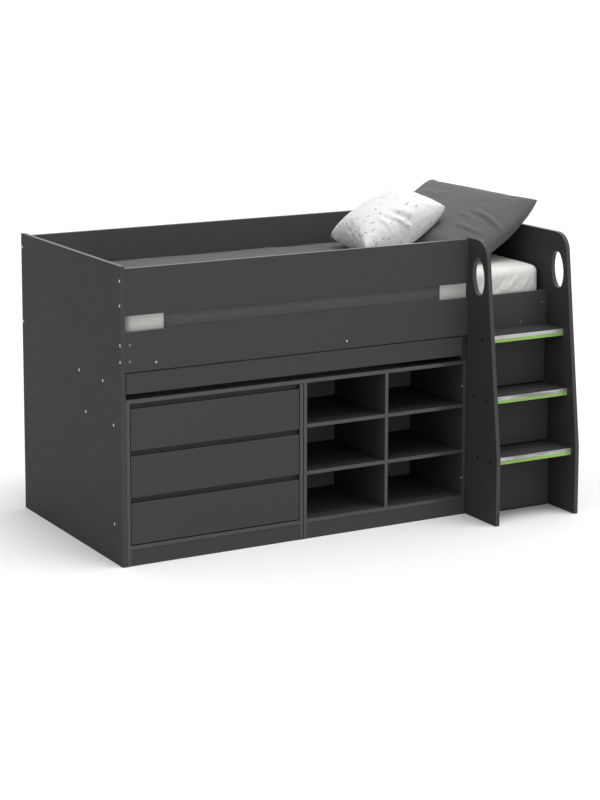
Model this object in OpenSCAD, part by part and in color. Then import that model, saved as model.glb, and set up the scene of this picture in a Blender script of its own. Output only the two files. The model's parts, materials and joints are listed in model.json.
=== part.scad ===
// Mid sleeper bed: a cabin bed over a pull-out desk, a drawer chest and a bookcase, with a stepped
// ladder at its right end. Millimetres, +Z up, the front faces -Y. The origin lies on the floor at the
// middle of the whole bed's plan. Inside the modules, x starts at the left end's outer face and y at
// the front plane of the bed body.

/* [Bed] */
// Overall length of the bed
bed_l = 1960; // [1900:5:2100]
// Depth of the bed body, without the ladder
bed_d = 960; // [940:5:1060]
// Height of the end panels
bed_h = 1155; // [1120:5:1200]
// Thickness of the bed's boards
board_t = 18; // [16:0.5:22]
// Height of the rails' underside above the storage units, where the desk runs
rail_z = 105; // [100:1:135]
// Height of the side rails
rail_h = 155; // [140:1:180]
// Open slot between a rail and the guard above it
slot_h = 60; // [40:1:75]
// How far a guard's top edge lies below the end panels' top
guard_drop = 10; // [0:1:40]

/* [Slatted base] */
// Height of the battens that carry the slats
batten_h = 40; // [30:1:60]
// Width of the battens
batten_w = 30; // [20:1:45]
// How far the battens' underside lies above the rails' underside
batten_lift = 10; // [0:1:20]
// Number of slats
slat_n = 14; // [10:1:18]
// Width of a slat
slat_w = 70; // [50:1:90]
// Thickness of a slat
slat_t = 20; // [15:1:25]
// Clearance at each end of a slat
slat_gap = 1; // [0.5:0.5:4]

/* [Ladder] */
// Clear width between the ladder's two panels
bay_w = 372; // [330:1:420]
// How far the ladder's foot stands out in front of the bed body
ladder_reach = 220; // [210:1:260]
// Height up to which the ladder's front edge is upright
foot_h = 280; // [240:5:360]
// Backward slope of the front edge above that, in degrees
ladder_lean = 6.36; // [5:0.1:7]
// Radius of the ladder's top front corner
top_r = 75; // [50:1:90]
// How far the ladder side panel's top lies below the end panels' top
side_panel_drop = 5; // [0:1:10]
// Clearance of the side panel's notch round the front rail
notch_gap = 0.5; // [0.3:0.1:1]
// Distance of the hand-holds' centre below the end panels' top
hold_z = 155; // [135:1:170]
// Distance of the hand-holds' centre in front of the bed body
hold_out = 71; // [66:1:76]
// Width of a hand-hold
hold_w = 80; // [60:1:90]
// Length of a hand-hold
hold_l = 150; // [120:1:160]

/* [Treads and risers] */
// Height of the uppermost tread's top above the rails' underside
tread_z = 10; // [0:1:20]
// Rise from one tread to the next
tread_rise = 244; // [225:1:245]
// Thickness of a tread
tread_t = 28; // [24:1:34]
// How far the lowest tread's nose stands out in front of the bed body
tread_out = 189; // [175:1:195]
// How far each nose is set back from the one below
tread_back = 34.5; // [25:0.5:40]
// Thickness of the edge strips on the noses
strip_t = 2; // [1:0.5:4]
// Height of the upper, silver strip
silver_h = 14; // [8:1:20]
// Thickness of the riser boards
riser_t = 15; // [12:0.5:18]
// How far the lower riser's face stands out in front of the bed body
low_riser_out = 45; // [38:1:60]
// How far the middle riser's face stands out
mid_riser_out = 32; // [25:1:37]
// How far the upper riser's face stands out
top_riser_out = 1; // [1:1:6]

/* [Storage units] */
// Thickness of the storage units' boards
unit_t = 15; // [14:0.5:18]
// Height of the storage units with their common top board
unit_h = 645; // [630:1:650]
// Depth of the storage units
unit_d = 400; // [390:5:430]
// Width of the drawer chest
chest_w = 763; // [700:1:820]
// Gap between the two units, and between them and the ladder
unit_gap = 3; // [1:0.5:6]
// Gap between the left end panel and the chest
end_gap = 1; // [0.5:0.5:3]
// Height of the plinths
plinth_h = 65; // [50:1:80]
// How far the plinths are set back
plinth_set = 2; // [0:1:20]
// Thickness of the back panels
back_t = 3; // [2:0.5:5]
// Clear height of the lowest cubes
low_cube_h = 180; // [150:1:200]
// Clear height of the middle cubes
mid_cube_h = 175; // [150:1:195]

/* [Drawers] */
// Open grip gap above each drawer front
grip_gap = 21.5; // [16:0.5:26]
// Gap under the lowest drawer front
front_foot_gap = 4; // [2:0.5:6]
// Gap at each side of a drawer front
front_side_gap = 3; // [2:0.5:5]
// Bevel along a front's rear top edge
grip_bevel = 8; // [4:0.5:10]
// Depth at which the fixed grip rails start
grip_rail_y = 20; // [19:0.5:24]
// How far a grip rail reaches below its gap
grip_rail_below = 24; // [18:0.5:28]
// How far a grip rail reaches above its gap
grip_rail_above = 8; // [4:0.5:10]
// Height of the drawer boxes
box_h = 110; // [90:1:112]
// How far a box's underside lies above its front's lower edge
box_lift = 14; // [12:0.5:18]
// Length of the drawer boxes behind their fronts
box_l = 350; // [320:1:360]
// Thickness of the drawers' sides and backs
box_t = 12; // [10:0.5:14]
// Thickness of the drawers' bottoms
bottom_t = 5; // [4:0.5:6]
// Height of a drawer's bottom above the box's underside
bottom_lift = 8; // [6:0.5:12]
// Height of the drawers' slides
drawer_slide_h = 35; // [30:1:45]

/* [Slides] */
// Room for a slide between a moving side and what carries it
slide_gap = 13; // [12:0.5:14]
// Depth of a fixed track's channel section
track_d = 9; // [8:0.5:9.5]
// Wall thickness of a track
track_wall = 2; // [1.5:0.5:2]
// Running clearance between a slide and its track
run_gap = 0.4; // [0.3:0.1:0.6]
// How deep a slide's tongue reaches into its track
tongue_d = 4.5; // [3.5:0.5:4.5]

/* [Desk] */
// Running gap between the desk's top and the rail above it
desk_gap = 2; // [1:0.5:5]
// Depth of the desk's top behind the front skirt
desk_d = 482; // [460:1:500]
// Height of the front skirt
skirt_h = 82; // [70:1:84]
// Gap between the skirt and the left end panel
skirt_gap = 1.5; // [1:0.5:4]
// Gap between the skirt's right end and the desk's support board
skirt_end_gap = 7.5; // [4:0.5:12]
// Height of the desk's side aprons
apron_h = 67; // [60:1:70]
// How far the aprons stop short of the top's rear edge
apron_short = 20; // [0:1:60]
// Distance from the rails' underside down to the slides' centre line
slide_drop = 58; // [56:0.5:60]
// Height of the desk's slides
desk_slide_h = 45; // [35:1:46]
// Length of the desk's slides and tracks
desk_slide_l = 400; // [380:5:420]
// Distance of the desk's slides behind the front plane
desk_slide_y = 40; // [30:1:45]
// Distance of the support board behind the front plane
support_y = 20; // [19:0.5:28]

/* [Fasteners] */
// Diameter of the panel bolts' shanks
bolt_d = 6; // [5:0.5:8]
// Diameter of the bolts' flat heads
head_d = 13; // [11:0.5:15]
// Thickness of the bolts' heads
head_t = 3; // [2:0.5:4]
// Clearance round bolts, screws and nuts in their holes
hole_gap = 0.3; // [0.2:0.1:0.5]
// Diameter of the barrel nuts
nut_d = 10; // [9.5:0.5:12]
// Distance of a barrel nut behind the board's end
nut_in = 20; // [16:1:30]
// How far a nut and a bolt's tip reach past the bolt's axis or the nut
nut_past = 5; // [4:0.5:6]
// Height of a rail's lower bolt above the rail's underside
rail_bolt_low = 41; // [30:1:50]
// Distance between a rail's two bolts
rail_bolt_gap = 64; // [50:1:75]
// Height of a guard's lower bolt above the guard's underside
guard_bolt_low = 41; // [30:1:50]
// Distance of a guard's upper bolt below the guard's top edge
guard_bolt_gap = 46; // [30:1:60]
// Distance of a tread's front bolt behind its nose
tread_bolt_in = 16; // [14:1:24]
// Distance between a tread's two bolts
tread_bolt_gap = 90; // [70:1:94]
// Height of the lower bolts that tie the storage units to the bed
unit_bolt_low = 153; // [140:1:170]
// Height of the upper bolts that tie the storage units to the bed
unit_bolt_high = 538; // [520:1:560]
// Distance of the chest's front tie bolts behind the front plane
chest_bolt_front = 74; // [60:1:90]
// Distance of the chest's rear tie bolt behind the front plane
chest_bolt_rear = 331; // [300:1:350]
// Depth of a tie bolt in the board that it screws into
tie_depth = 10; // [8:0.5:11]
// Distance of a desk track's front bolt behind the front plane
track_bolt_front = 168; // [150:1:190]
// Distance of a desk track's rear bolt behind the front plane
track_bolt_rear = 390; // [360:1:400]
// Diameter of the wood screws' shanks
screw_d = 4; // [3:0.5:5]
// Diameter of the wood screws' heads
screw_head_d = 9; // [8:0.5:10]
// Thickness of the wood screws' heads
screw_head_t = 1.6; // [1.2:0.1:1.6]
// Depth of a wood screw in the board that it holds
screw_depth = 11; // [8:0.5:12]
// Distance of the outer batten screws from the rails' ends
batten_screw_in = 128; // [100:1:160]
// Distance of a drawer track's screws from its ends
track_screw_in = 50; // [30:1:80]

/* [Bedding] */
// Room between the mattress and the boards round it
mattress_gap = 12; // [11:0.5:20]
// Thickness of the mattress
mattress_t = 186; // [170:1:200]
// Radius of the mattress's edges
mattress_r = 34; // [24:1:44]
// Crown of the mattress's top
mattress_crown = 5; // [0:0.5:10]
// Gap between a soft piece and what it lies on
soft_gap = 0.3; // [0.3:0.1:0.5]
// Distance of the duvet's left edge from the left end panel
duvet_in = 175; // [120:1:240]
// Width of the duvet's cover along the bed
duvet_l = 1239; // [1100:1:1300]
// Thickness of the duvet on the mattress
duvet_t = 12; // [8:0.5:16]
// Depth of the duvet's folds on the mattress
duvet_fold = 5; // [2:0.5:8]
// Thickness of the duvet where it is tucked beside the mattress
tuck_t = 8; // [6:0.5:8.5]
// Depth of the folds in the tucked part
tuck_fold = 2; // [0:0.5:2]
// How far the duvet hangs down in front of the mattress
front_drop = 150; // [120:1:165]
// How far the duvet is tucked down behind the mattress
rear_drop = 60; // [50:1:120]
// Width of the grey pillow
grey_w = 820; // [720:5:860]
// Length of the grey pillow along its lean
grey_l = 480; // [440:5:520]
// Crown of the grey pillow's front
grey_front = 87; // [65:1:100]
// Crown of the grey pillow's back at its lower edge
grey_back_low = 80; // [60:1:95]
// Crown of the grey pillow's back at its upper edge
grey_back_high = 74; // [60:1:90]
// Slope of the grey pillow's lower edge, in degrees
grey_low_angle = 16; // [11:1:21]
// Slope of the grey pillow's upper edge, in degrees
grey_high_angle = 47; // [42:1:52]
// Height of the grey pillow's lower seam above the mattress
grey_lift = 16; // [9:1:23]
// Share of the free width beside the grey pillow that lies in front of it
grey_y = 0.785; // [0.1:0.005:0.9]
// Side of the square white pillow
white_s = 400; // [360:5:440]
// Crown of the white pillow's front
white_front = 92; // [70:1:100]
// Crown of the white pillow's back
white_back = 110; // [90:1:120]
// Tilt of the white pillow, in degrees
white_tilt = 24; // [21:0.5:27]
// Turn of the white pillow about the vertical, in degrees
white_turn = -8; // [-12:1:-2]
// Distance of the white pillow's middle from the right end panel
white_in = 432; // [418:1:448]
// Distance of the white pillow's middle from the rear boards
white_y = 382; // [362:1:402]
// Height of the white pillow's middle above the mattress
white_lift = 141; // [135:1:147]
// How far the pillows' sides are drawn in between their corners
pillow_pull = 0.02; // [0:0.01:0.12]

/* [Hidden] */

anthracite = [0.27, 0.27, 0.28];
grey_board = [0.5, 0.5, 0.51];
steel = [0.72, 0.73, 0.74];
pine = [0.82, 0.68, 0.5];
cut = 1;
round_fn = 32;
drawer_n = 3;
tread_n = 3;

// Main lines of the bed
inner_r = bed_l - board_t;
rear_in = bed_d - board_t;
bed_z = unit_h + rail_z;
guard_z = bed_z + rail_h + slot_h;
guard_h = bed_h - guard_drop - guard_z;
side_panel_x = inner_r - bay_w - board_t;
bay_x = side_panel_x + board_t;
slat_z = bed_z + batten_lift + batten_h;
bed_base_z = slat_z + slat_t;

// Main lines of the storage units
chest_x = board_t + end_gap;
storage_r = side_panel_x - unit_gap;
bookcase_x = chest_x + chest_w + unit_gap;
unit_under = unit_h - unit_t;
base_z = plinth_h + unit_t;
chest_in = [chest_x + unit_t, chest_x + chest_w - unit_t];
case_in = [bookcase_x + unit_t, storage_r - unit_t];
divider_x = (case_in[0] + case_in[1] - unit_t) / 2;
shelf_z = [base_z + low_cube_h, base_z + low_cube_h + unit_t + mid_cube_h];

// Main lines of the drawers, counted from the top
front_h = (unit_under - base_z - front_foot_gap - drawer_n * grip_gap) / drawer_n;
function front_z(i) = base_z + front_foot_gap + (drawer_n - 1 - i) * (front_h + grip_gap);
box_x = [chest_in[0] + slide_gap, chest_in[1] - slide_gap];
function drawer_slide_z(i) = front_z(i) + box_lift + (box_h - drawer_slide_h) / 2;

// Main lines of the desk
desk_top_z = bed_z - desk_gap - board_t;
desk_axis_z = bed_z - slide_drop;
desk_slide_z = desk_axis_z - desk_slide_h / 2;
support_x = storage_r - unit_t;
desk_x = [board_t + slide_gap, support_x - slide_gap];

// Main lines of the treads, counted from the bottom
function tread_top(i) = bed_z + tread_z - (tread_n - 1 - i) * tread_rise;
function tread_nose(i) = -tread_out + i * tread_back;
riser_out = [low_riser_out, mid_riser_out, top_riser_out];
function tread_rear(i) = i == tread_n - 1 ? 0 : riser_t - riser_out[i + 1];

// Bolt places as [x of the head's face, y, z, direction along x, board passed, depth behind it]
rail_bolts = [bed_z + rail_bolt_low, bed_z + rail_bolt_low + rail_bolt_gap];
guard_bolts = [guard_z + guard_bolt_low, guard_z + guard_h - guard_bolt_gap];
front_axis = board_t / 2;
rear_axis = bed_d - board_t / 2;
nut_reach = nut_in + nut_d / 2 + nut_past;
left_front_bolts = [for (z = concat(rail_bolts, guard_bolts)) [0, front_axis, z, 1, board_t, nut_reach]];
right_front_bolts = [for (z = rail_bolts) [bed_l, front_axis, z, -1, board_t, nut_reach]];
bay_bolts = [for (z = guard_bolts) [bay_x, front_axis, z, -1, board_t, nut_reach]];
rear_bolts = [for (z = [rail_bolts[0], guard_bolts[1]], s = [1, -1])
    [s > 0 ? 0 : bed_l, rear_axis, z, s, board_t, nut_reach]];
function tread_bolts(i) = [for (k = [0:i == tread_n - 1 ? 0 : 1], s = [1, -1])
    [s > 0 ? side_panel_x : bed_l, tread_nose(i) + tread_bolt_in + k * tread_bolt_gap,
     tread_top(i) - tread_t / 2, s, board_t, nut_reach]];
all_tread_bolts = [for (i = [0:tread_n - 1]) each tread_bolts(i)];
chest_bolts = [
    [0, chest_bolt_front, unit_bolt_low, 1, board_t + end_gap, tie_depth],
    [0, chest_bolt_front, unit_bolt_high, 1, board_t + end_gap, tie_depth],
    [0, chest_bolt_rear, unit_bolt_high, 1, board_t + end_gap, tie_depth]
];
case_bolts = [for (z = [unit_bolt_low, unit_bolt_high])
    [case_in[1], front_axis, z, 1, unit_t + unit_gap, tie_depth]];
track_bolts = [for (y = [track_bolt_front, track_bolt_rear])
    [0, y, desk_axis_z, 1, board_t, track_wall]];

// Screw places as [x, y, z, turn about x, turn about z, board passed]
batten_screw_x = [board_t + batten_screw_in, bed_l / 2, inner_r - batten_screw_in];
batten_screw_z = bed_z + batten_lift + batten_h / 2;
rail_screws = [for (x = batten_screw_x, s = [-1, 1]) [x, s < 0 ? 0 : bed_d, batten_screw_z, s]];
desk_track_screws = [for (y = [track_bolt_front, track_bolt_rear]) [support_x, y, desk_axis_z, 1]];
drawer_track_y = unit_t + soft_gap;
drawer_track_screws = [for (i = [0:drawer_n - 1],
        y = [drawer_track_y + track_screw_in, drawer_track_y + box_l - track_screw_in], s = [0, 1])
    [chest_in[s], y, drawer_slide_z(i) + drawer_slide_h / 2, s > 0 ? 1 : -1]];

// Moves what is drawn from the bed body's front left corner to the part's own origin
module in_place() {
    translate([-bed_l / 2, (ladder_reach - bed_d) / 2, 0]) children();
}

// A board from one corner to the opposite one
module board(low, high) {
    translate(low) cube(high - low);
}

// A straight round bar or bore along x, starting at p and running len towards dir
module bar_x(p, dir, d, len) {
    translate(p) rotate([0, dir * 90, 0]) cylinder(d = d, h = len, $fn = round_fn);
}

// The hole of one bolt: a seat for its head and a straight bore
module bolt_bore(b) {
    depth = b[4] + b[5] + hole_gap;
    bar_x([b[0] - b[3] * cut, b[1], b[2]], b[3], head_d + 2 * hole_gap, head_t + hole_gap + cut);
    bar_x([b[0], b[1], b[2]], b[3], bolt_d + 2 * hole_gap, depth);
}

module bolt_bores(list) {
    for (b = list) bolt_bore(b);
}

// One bolt with its flat head sunk flush in the board
module bolt(b) {
    bar_x([b[0] + b[3] * hole_gap, b[1], b[2]], b[3], head_d, head_t);
    bar_x([b[0] + b[3] * hole_gap, b[1], b[2]], b[3], bolt_d, b[4] + b[5] - hole_gap);
}

// Places children on a bolt's axis at its barrel nut, with +Z towards the board face it opens on
module at_nut(b, turn) {
    translate([b[0] + b[3] * (b[4] + nut_in), b[1], b[2]]) rotate([turn, 0, 0]) children();
}

module nut_bores(list, turn, half_t) {
    for (b = list) at_nut(b, turn)
        translate([0, 0, -nut_past - hole_gap])
            cylinder(d = nut_d + 2 * hole_gap, h = nut_past + hole_gap + half_t + cut, $fn = round_fn);
}

module nuts(list, turn, half_t) {
    for (b = list) at_nut(b, turn) difference() {
        translate([0, 0, -nut_past]) cylinder(d = nut_d, h = nut_past + half_t - hole_gap, $fn = round_fn);
        bar_x([-nut_d, 0, 0], 1, bolt_d + hole_gap, 2 * nut_d);
    }
}

// Outline of a panel that carries the ladder, in the y-z plane, with a rounded top front corner
module ladder_outline(rear, top) {
    slope = tan(ladder_lean);
    mid = [-ladder_reach + slope * (top - top_r - foot_h) + top_r / cos(ladder_lean), top - top_r];
    front = top_r * [-cos(ladder_lean), sin(ladder_lean)];
    corner = [-ladder_reach + slope * (top - foot_h), top];
    difference() {
        polygon([[rear, 0], [-ladder_reach, 0], [-ladder_reach, foot_h], corner, [rear, top]]);
        difference() {
            polygon([mid, mid + 2 * front, mid + 2 * (corner - mid), mid + [0, 2 * top_r]]);
            translate(mid) circle(r = top_r, $fn = 96);
        }
    }
}

// A four-arc oval, leaning with the ladder's front edge
module hand_hold() {
    end_r = hold_w * 0.36;
    half_l = hold_l / 2 - end_r;
    half_w = hold_w / 2 - end_r;
    shift = (half_l * half_l - half_w * half_w) / (2 * half_w);
    side_r = shift + hold_w / 2;
    band = half_l * side_r / (side_r - end_r);
    translate([-hold_out, bed_h - hold_z]) rotate(-ladder_lean) {
        intersection() {
            translate([shift, 0]) circle(r = side_r, $fn = 128);
            translate([-shift, 0]) circle(r = side_r, $fn = 128);
            square([2 * hold_w, 2 * band], center = true);
        }
        for (s = [-1, 1]) translate([0, s * half_l]) circle(r = end_r, $fn = 64);
    }
}

// Stands a y-z outline up as a panel whose left face is at x
module panel(x, t) {
    translate([x, 0, 0]) rotate([90, 0, 90]) linear_extrude(t) children();
}

module left_end_panel() in_place() color(anthracite) difference() {
    board([0, 0, 0], [board_t, bed_d, bed_h]);
    bolt_bores(concat(left_front_bolts, rear_bolts, chest_bolts, track_bolts));
}

module right_end_panel() in_place() color(anthracite) difference() {
    panel(inner_r, board_t) difference() {
        ladder_outline(bed_d, bed_h);
        hand_hold();
    }
    bolt_bores(concat(right_front_bolts, rear_bolts, all_tread_bolts));
}

module ladder_side_panel() in_place() color(anthracite) difference() {
    panel(side_panel_x, board_t) difference() {
        ladder_outline(board_t, bed_h - side_panel_drop);
        hand_hold();
        translate([-notch_gap, bed_z - notch_gap])
            square([board_t + notch_gap + cut, rail_h + 2 * notch_gap]);
    }
    bolt_bores(concat(bay_bolts, all_tread_bolts, case_bolts));
}

// A wood screw with its head sunk in the outer face of a rail, pointing into the batten
module at_rail_screw(s) {
    translate([s[0], s[1], s[2]]) rotate([s[3] * 90, 0, 0]) children();
}

module screw_bores(list) {
    for (s = list) at_rail_screw(s) {
        translate([0, 0, -cut])
            cylinder(d = screw_head_d + 2 * hole_gap, h = screw_head_t + hole_gap + cut, $fn = round_fn);
        cylinder(d = screw_d + 2 * hole_gap, h = board_t + screw_depth + hole_gap, $fn = round_fn);
    }
}

front_rail_screws = [for (s = rail_screws) if (s[3] < 0) s];
rear_rail_screws = [for (s = rail_screws) if (s[3] > 0) s];

module front_rail() in_place() color(anthracite) difference() {
    board([board_t, 0, bed_z], [inner_r, board_t, bed_z + rail_h]);
    bolt_bores(concat(left_front_bolts, right_front_bolts));
    nut_bores(concat([left_front_bolts[0], left_front_bolts[1]], right_front_bolts), 90, board_t / 2);
    screw_bores(front_rail_screws);
}

module rear_rail() in_place() color(anthracite) difference() {
    board([board_t, rear_in, bed_z], [inner_r, bed_d, bed_z + rail_h]);
    bolt_bores(rear_bolts);
    nut_bores([rear_bolts[0], rear_bolts[1]], -90, board_t / 2);
    screw_bores(rear_rail_screws);
}

module front_guard() in_place() color(anthracite) difference() {
    board([board_t, 0, guard_z], [side_panel_x, board_t, guard_z + guard_h]);
    bolt_bores(concat(left_front_bolts, bay_bolts));
    nut_bores(concat([left_front_bolts[2], left_front_bolts[3]], bay_bolts), -90, board_t / 2);
}

module rear_guard() in_place() color(anthracite) difference() {
    board([board_t, rear_in, guard_z], [inner_r, bed_d, guard_z + guard_h]);
    bolt_bores(rear_bolts);
    nut_bores([rear_bolts[2], rear_bolts[3]], -90, board_t / 2);
}

module slat_battens() in_place() color(pine) difference() {
    for (y = [board_t, rear_in - batten_w])
        board([board_t, y, slat_z - batten_h], [inner_r, y + batten_w, slat_z]);
    screw_bores(rail_screws);
}

module slats() in_place() color(pine) {
    pitch = (inner_r - board_t) / slat_n;
    for (i = [0:slat_n - 1]) {
        x = board_t + (i + 0.5) * pitch;
        board([x - slat_w / 2, board_t + slat_gap, slat_z],
              [x + slat_w / 2, rear_in - slat_gap, bed_base_z]);
    }
}

// Treads, their edge strips and the risers between them
module tread(i) in_place() color(anthracite) difference() {
    board([bay_x, tread_nose(i) + strip_t, tread_top(i) - tread_t], [inner_r, tread_rear(i), tread_top(i)]);
    bolt_bores(tread_bolts(i));
    nut_bores(tread_bolts(i), 180, tread_t / 2);
}

module upper_tread() tread(2);
module middle_tread() tread(1);
module lower_tread() tread(0);

module edge_strips(low, high) {
    for (i = [0:tread_n - 1])
        board([bay_x, tread_nose(i), tread_top(i) - high],
              [inner_r, tread_nose(i) + strip_t, tread_top(i) - low]);
}

module silver_edges() in_place() color([0.8, 0.8, 0.81]) edge_strips(0, silver_h);
module green_edges() in_place() color([0.6, 0.8, 0.42]) edge_strips(silver_h, tread_t);

module riser(i) in_place() color(anthracite)
    board([bay_x, -riser_out[i], i == 0 ? 0 : tread_top(i - 1)],
          [inner_r, riser_t - riser_out[i], tread_top(i) - tread_t]);

module upper_riser() riser(2);
module middle_riser() riser(1);
module lower_riser() riser(0);

// Storage units: a drawer chest and a bookcase under one top board
module upright(x) {
    board([x, 0, 0], [x + unit_t, unit_d, unit_under]);
}

module base_board(ends) {
    board([ends[0], 0, plinth_h], [ends[1], unit_d, base_z]);
}

module plinth_board(ends) {
    board([ends[0], plinth_set, 0], [ends[1], plinth_set + unit_t, plinth_h]);
}

module back_board(ends) {
    board([ends[0] - unit_t / 2, unit_d, plinth_h], [ends[1] + unit_t / 2, unit_d + back_t, unit_under]);
}

module storage_top() in_place() color(anthracite)
    board([chest_x, 0, unit_under], [storage_r, unit_d, unit_h]);

module chest_left_side() in_place() color(anthracite) difference() {
    upright(chest_x);
    bolt_bores(chest_bolts);
    track_screw_bores();
}

module chest_right_side() in_place() color(anthracite) difference() {
    upright(chest_in[1]);
    track_screw_bores();
}

module chest_base() in_place() color(anthracite) base_board(chest_in);
module chest_plinth() in_place() color(anthracite) plinth_board(chest_in);
module chest_back() in_place() color(grey_board) back_board(chest_in);

module chest_grip_rails() in_place() color(anthracite)
    for (i = [0:drawer_n - 1]) {
        gap_z = front_z(i) + front_h;
        top = i == 0 ? unit_under : gap_z + grip_gap + grip_rail_above;
        board([chest_in[0], grip_rail_y, gap_z - grip_rail_below],
              [chest_in[1], grip_rail_y + unit_t, top]);
    }

module bookcase_left_side() in_place() color(anthracite) upright(bookcase_x);

module bookcase_right_side() in_place() color(anthracite) difference() {
    upright(case_in[1]);
    bolt_bores(case_bolts);
}

module bookcase_base() in_place() color(anthracite) base_board(case_in);
module bookcase_plinth() in_place() color(anthracite) plinth_board(case_in);
module bookcase_back() in_place() color(grey_board) back_board(case_in);

module bookcase_divider() in_place() color(anthracite)
    board([divider_x, 0, base_z], [divider_x + unit_t, unit_d, unit_under]);

module bookcase_shelves() in_place() color(anthracite)
    for (z = shelf_z, ends = [[case_in[0], divider_x], [divider_x + unit_t, case_in[1]]])
        board([ends[0], 0, z], [ends[1], unit_d, z + unit_t]);

// Slides: a fixed channel track with screws through its web, and a moving tongue that runs in it.
// Both are drawn for the left-hand side, with the carrying face at x = 0.
module track(len, h) {
    difference() {
        cube([track_d, len, h]);
        translate([track_wall, -cut, track_wall]) cube([track_d, len + 2 * cut, h - 2 * track_wall]);
    }
}

module slide(len, h) {
    plate = slide_gap - track_d - run_gap;
    edge = track_wall + run_gap;
    translate([track_d + run_gap, 0, 0]) cube([plate, len, h]);
    translate([track_d - tongue_d, 0, edge]) cube([tongue_d + 2 * run_gap, len, h - 2 * edge]);
}

// Places children at the left carrying face, and mirrored at the right one
module both_sides(left, right, y, z) {
    translate([left, y, z]) children();
    translate([right, y, z]) mirror([1, 0, 0]) children();
}

// A wood screw through a track's web; side is -1 at a left-hand face and 1 at a right-hand one
module track_screw(s) {
    bar_x([s[0] - s[3] * (track_wall + screw_head_t), s[1], s[2]], s[3], screw_head_d, screw_head_t);
    bar_x([s[0] - s[3] * (track_wall + screw_head_t), s[1], s[2]], s[3], screw_d,
          screw_head_t + track_wall + screw_depth);
}

module track_screw_bore(s) {
    bar_x([s[0] - s[3] * (track_wall + cut), s[1], s[2]], s[3], screw_d + 2 * hole_gap,
          track_wall + cut + screw_depth + hole_gap);
}

module track_screw_bores() {
    for (s = drawer_track_screws) track_screw_bore(s);
}

module drawer_tracks() in_place() color(steel) difference() {
    for (i = [0:drawer_n - 1])
        both_sides(chest_in[0], chest_in[1], drawer_track_y, drawer_slide_z(i))
            track(box_l, drawer_slide_h);
    track_screw_bores();
}

// Drawers: a bevelled front, two sides, a back, a bottom and a pair of slides
module drawer_front(i) in_place() color(anthracite)
    panel(chest_in[0] + front_side_gap, chest_in[1] - chest_in[0] - 2 * front_side_gap)
        translate([0, front_z(i)])
            polygon([[0, 0], [unit_t, 0], [unit_t, front_h - grip_bevel],
                     [unit_t - grip_bevel, front_h], [0, front_h]]);

module drawer_sides(i) in_place() color(grey_board) {
    z = front_z(i) + box_lift;
    for (x = [box_x[0], box_x[1] - box_t]) board([x, unit_t, z], [x + box_t, unit_t + box_l, z + box_h]);
}

module drawer_back(i) in_place() color(grey_board) {
    z = front_z(i) + box_lift;
    board([box_x[0] + box_t, unit_t + box_l - box_t, z], [box_x[1] - box_t, unit_t + box_l, z + box_h]);
}

module drawer_bottom(i) in_place() color(grey_board) {
    z = front_z(i) + box_lift + bottom_lift;
    board([box_x[0] + box_t, unit_t, z], [box_x[1] - box_t, unit_t + box_l - box_t, z + bottom_t]);
}

module drawer_slides(i) in_place() color(steel)
    both_sides(chest_in[0], chest_in[1], unit_t, drawer_slide_z(i)) slide(box_l, drawer_slide_h);

module drawer_1_front() drawer_front(0);
module drawer_1_sides() drawer_sides(0);
module drawer_1_back() drawer_back(0);
module drawer_1_bottom() drawer_bottom(0);
module drawer_1_slides() drawer_slides(0);
module drawer_2_front() drawer_front(1);
module drawer_2_sides() drawer_sides(1);
module drawer_2_back() drawer_back(1);
module drawer_2_bottom() drawer_bottom(1);
module drawer_2_slides() drawer_slides(1);
module drawer_3_front() drawer_front(2);
module drawer_3_sides() drawer_sides(2);
module drawer_3_back() drawer_back(2);
module drawer_3_bottom() drawer_bottom(2);
module drawer_3_slides() drawer_slides(2);

// Desk: a pull-out top with a front skirt and two aprons, on a pair of slides
module desk_top() in_place() color(anthracite)
    board([desk_x[0], board_t, desk_top_z], [desk_x[1], board_t + desk_d, desk_top_z + board_t]);

module desk_skirt() in_place() color(anthracite)
    board([board_t + skirt_gap, 0, desk_top_z + board_t - skirt_h],
          [support_x - skirt_end_gap, board_t, desk_top_z + board_t]);

module desk_aprons() in_place() color(anthracite)
    for (x = [desk_x[0], desk_x[1] - unit_t])
        board([x, board_t, desk_top_z - apron_h], [x + unit_t, board_t + desk_d - apron_short, desk_top_z]);

module desk_slides() in_place() color(steel)
    both_sides(board_t, support_x, desk_slide_y, desk_slide_z) slide(desk_slide_l, desk_slide_h);

module desk_tracks() in_place() color(steel) difference() {
    both_sides(board_t, support_x, desk_slide_y, desk_slide_z) track(desk_slide_l, desk_slide_h);
    bolt_bores(track_bolts);
    for (s = desk_track_screws) track_screw_bore(s);
}

module desk_support() in_place() color(anthracite) difference() {
    board([support_x, support_y, unit_h],
          [storage_r, desk_slide_y + desk_slide_l, bed_z - desk_gap]);
    for (s = desk_track_screws) track_screw_bore(s);
}

// Fasteners
module panel_bolts() in_place() color(steel)
    for (b = concat(left_front_bolts, right_front_bolts, bay_bolts, rear_bolts, all_tread_bolts,
                    chest_bolts, case_bolts, track_bolts)) bolt(b);

module barrel_nuts() in_place() color(steel) {
    nuts(concat([left_front_bolts[0], left_front_bolts[1]], right_front_bolts), 90, board_t / 2);
    nuts(concat([left_front_bolts[2], left_front_bolts[3]], bay_bolts, rear_bolts), -90, board_t / 2);
    nuts(all_tread_bolts, 180, tread_t / 2);
}

module wood_screws() in_place() color(steel) {
    for (s = rail_screws) at_rail_screw(s) translate([0, 0, hole_gap]) {
        cylinder(d = screw_head_d, h = screw_head_t, $fn = round_fn);
        cylinder(d = screw_d, h = board_t + screw_depth - hole_gap, $fn = round_fn);
    }
    for (s = concat(drawer_track_screws, desk_track_screws)) track_screw(s);
}

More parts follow.
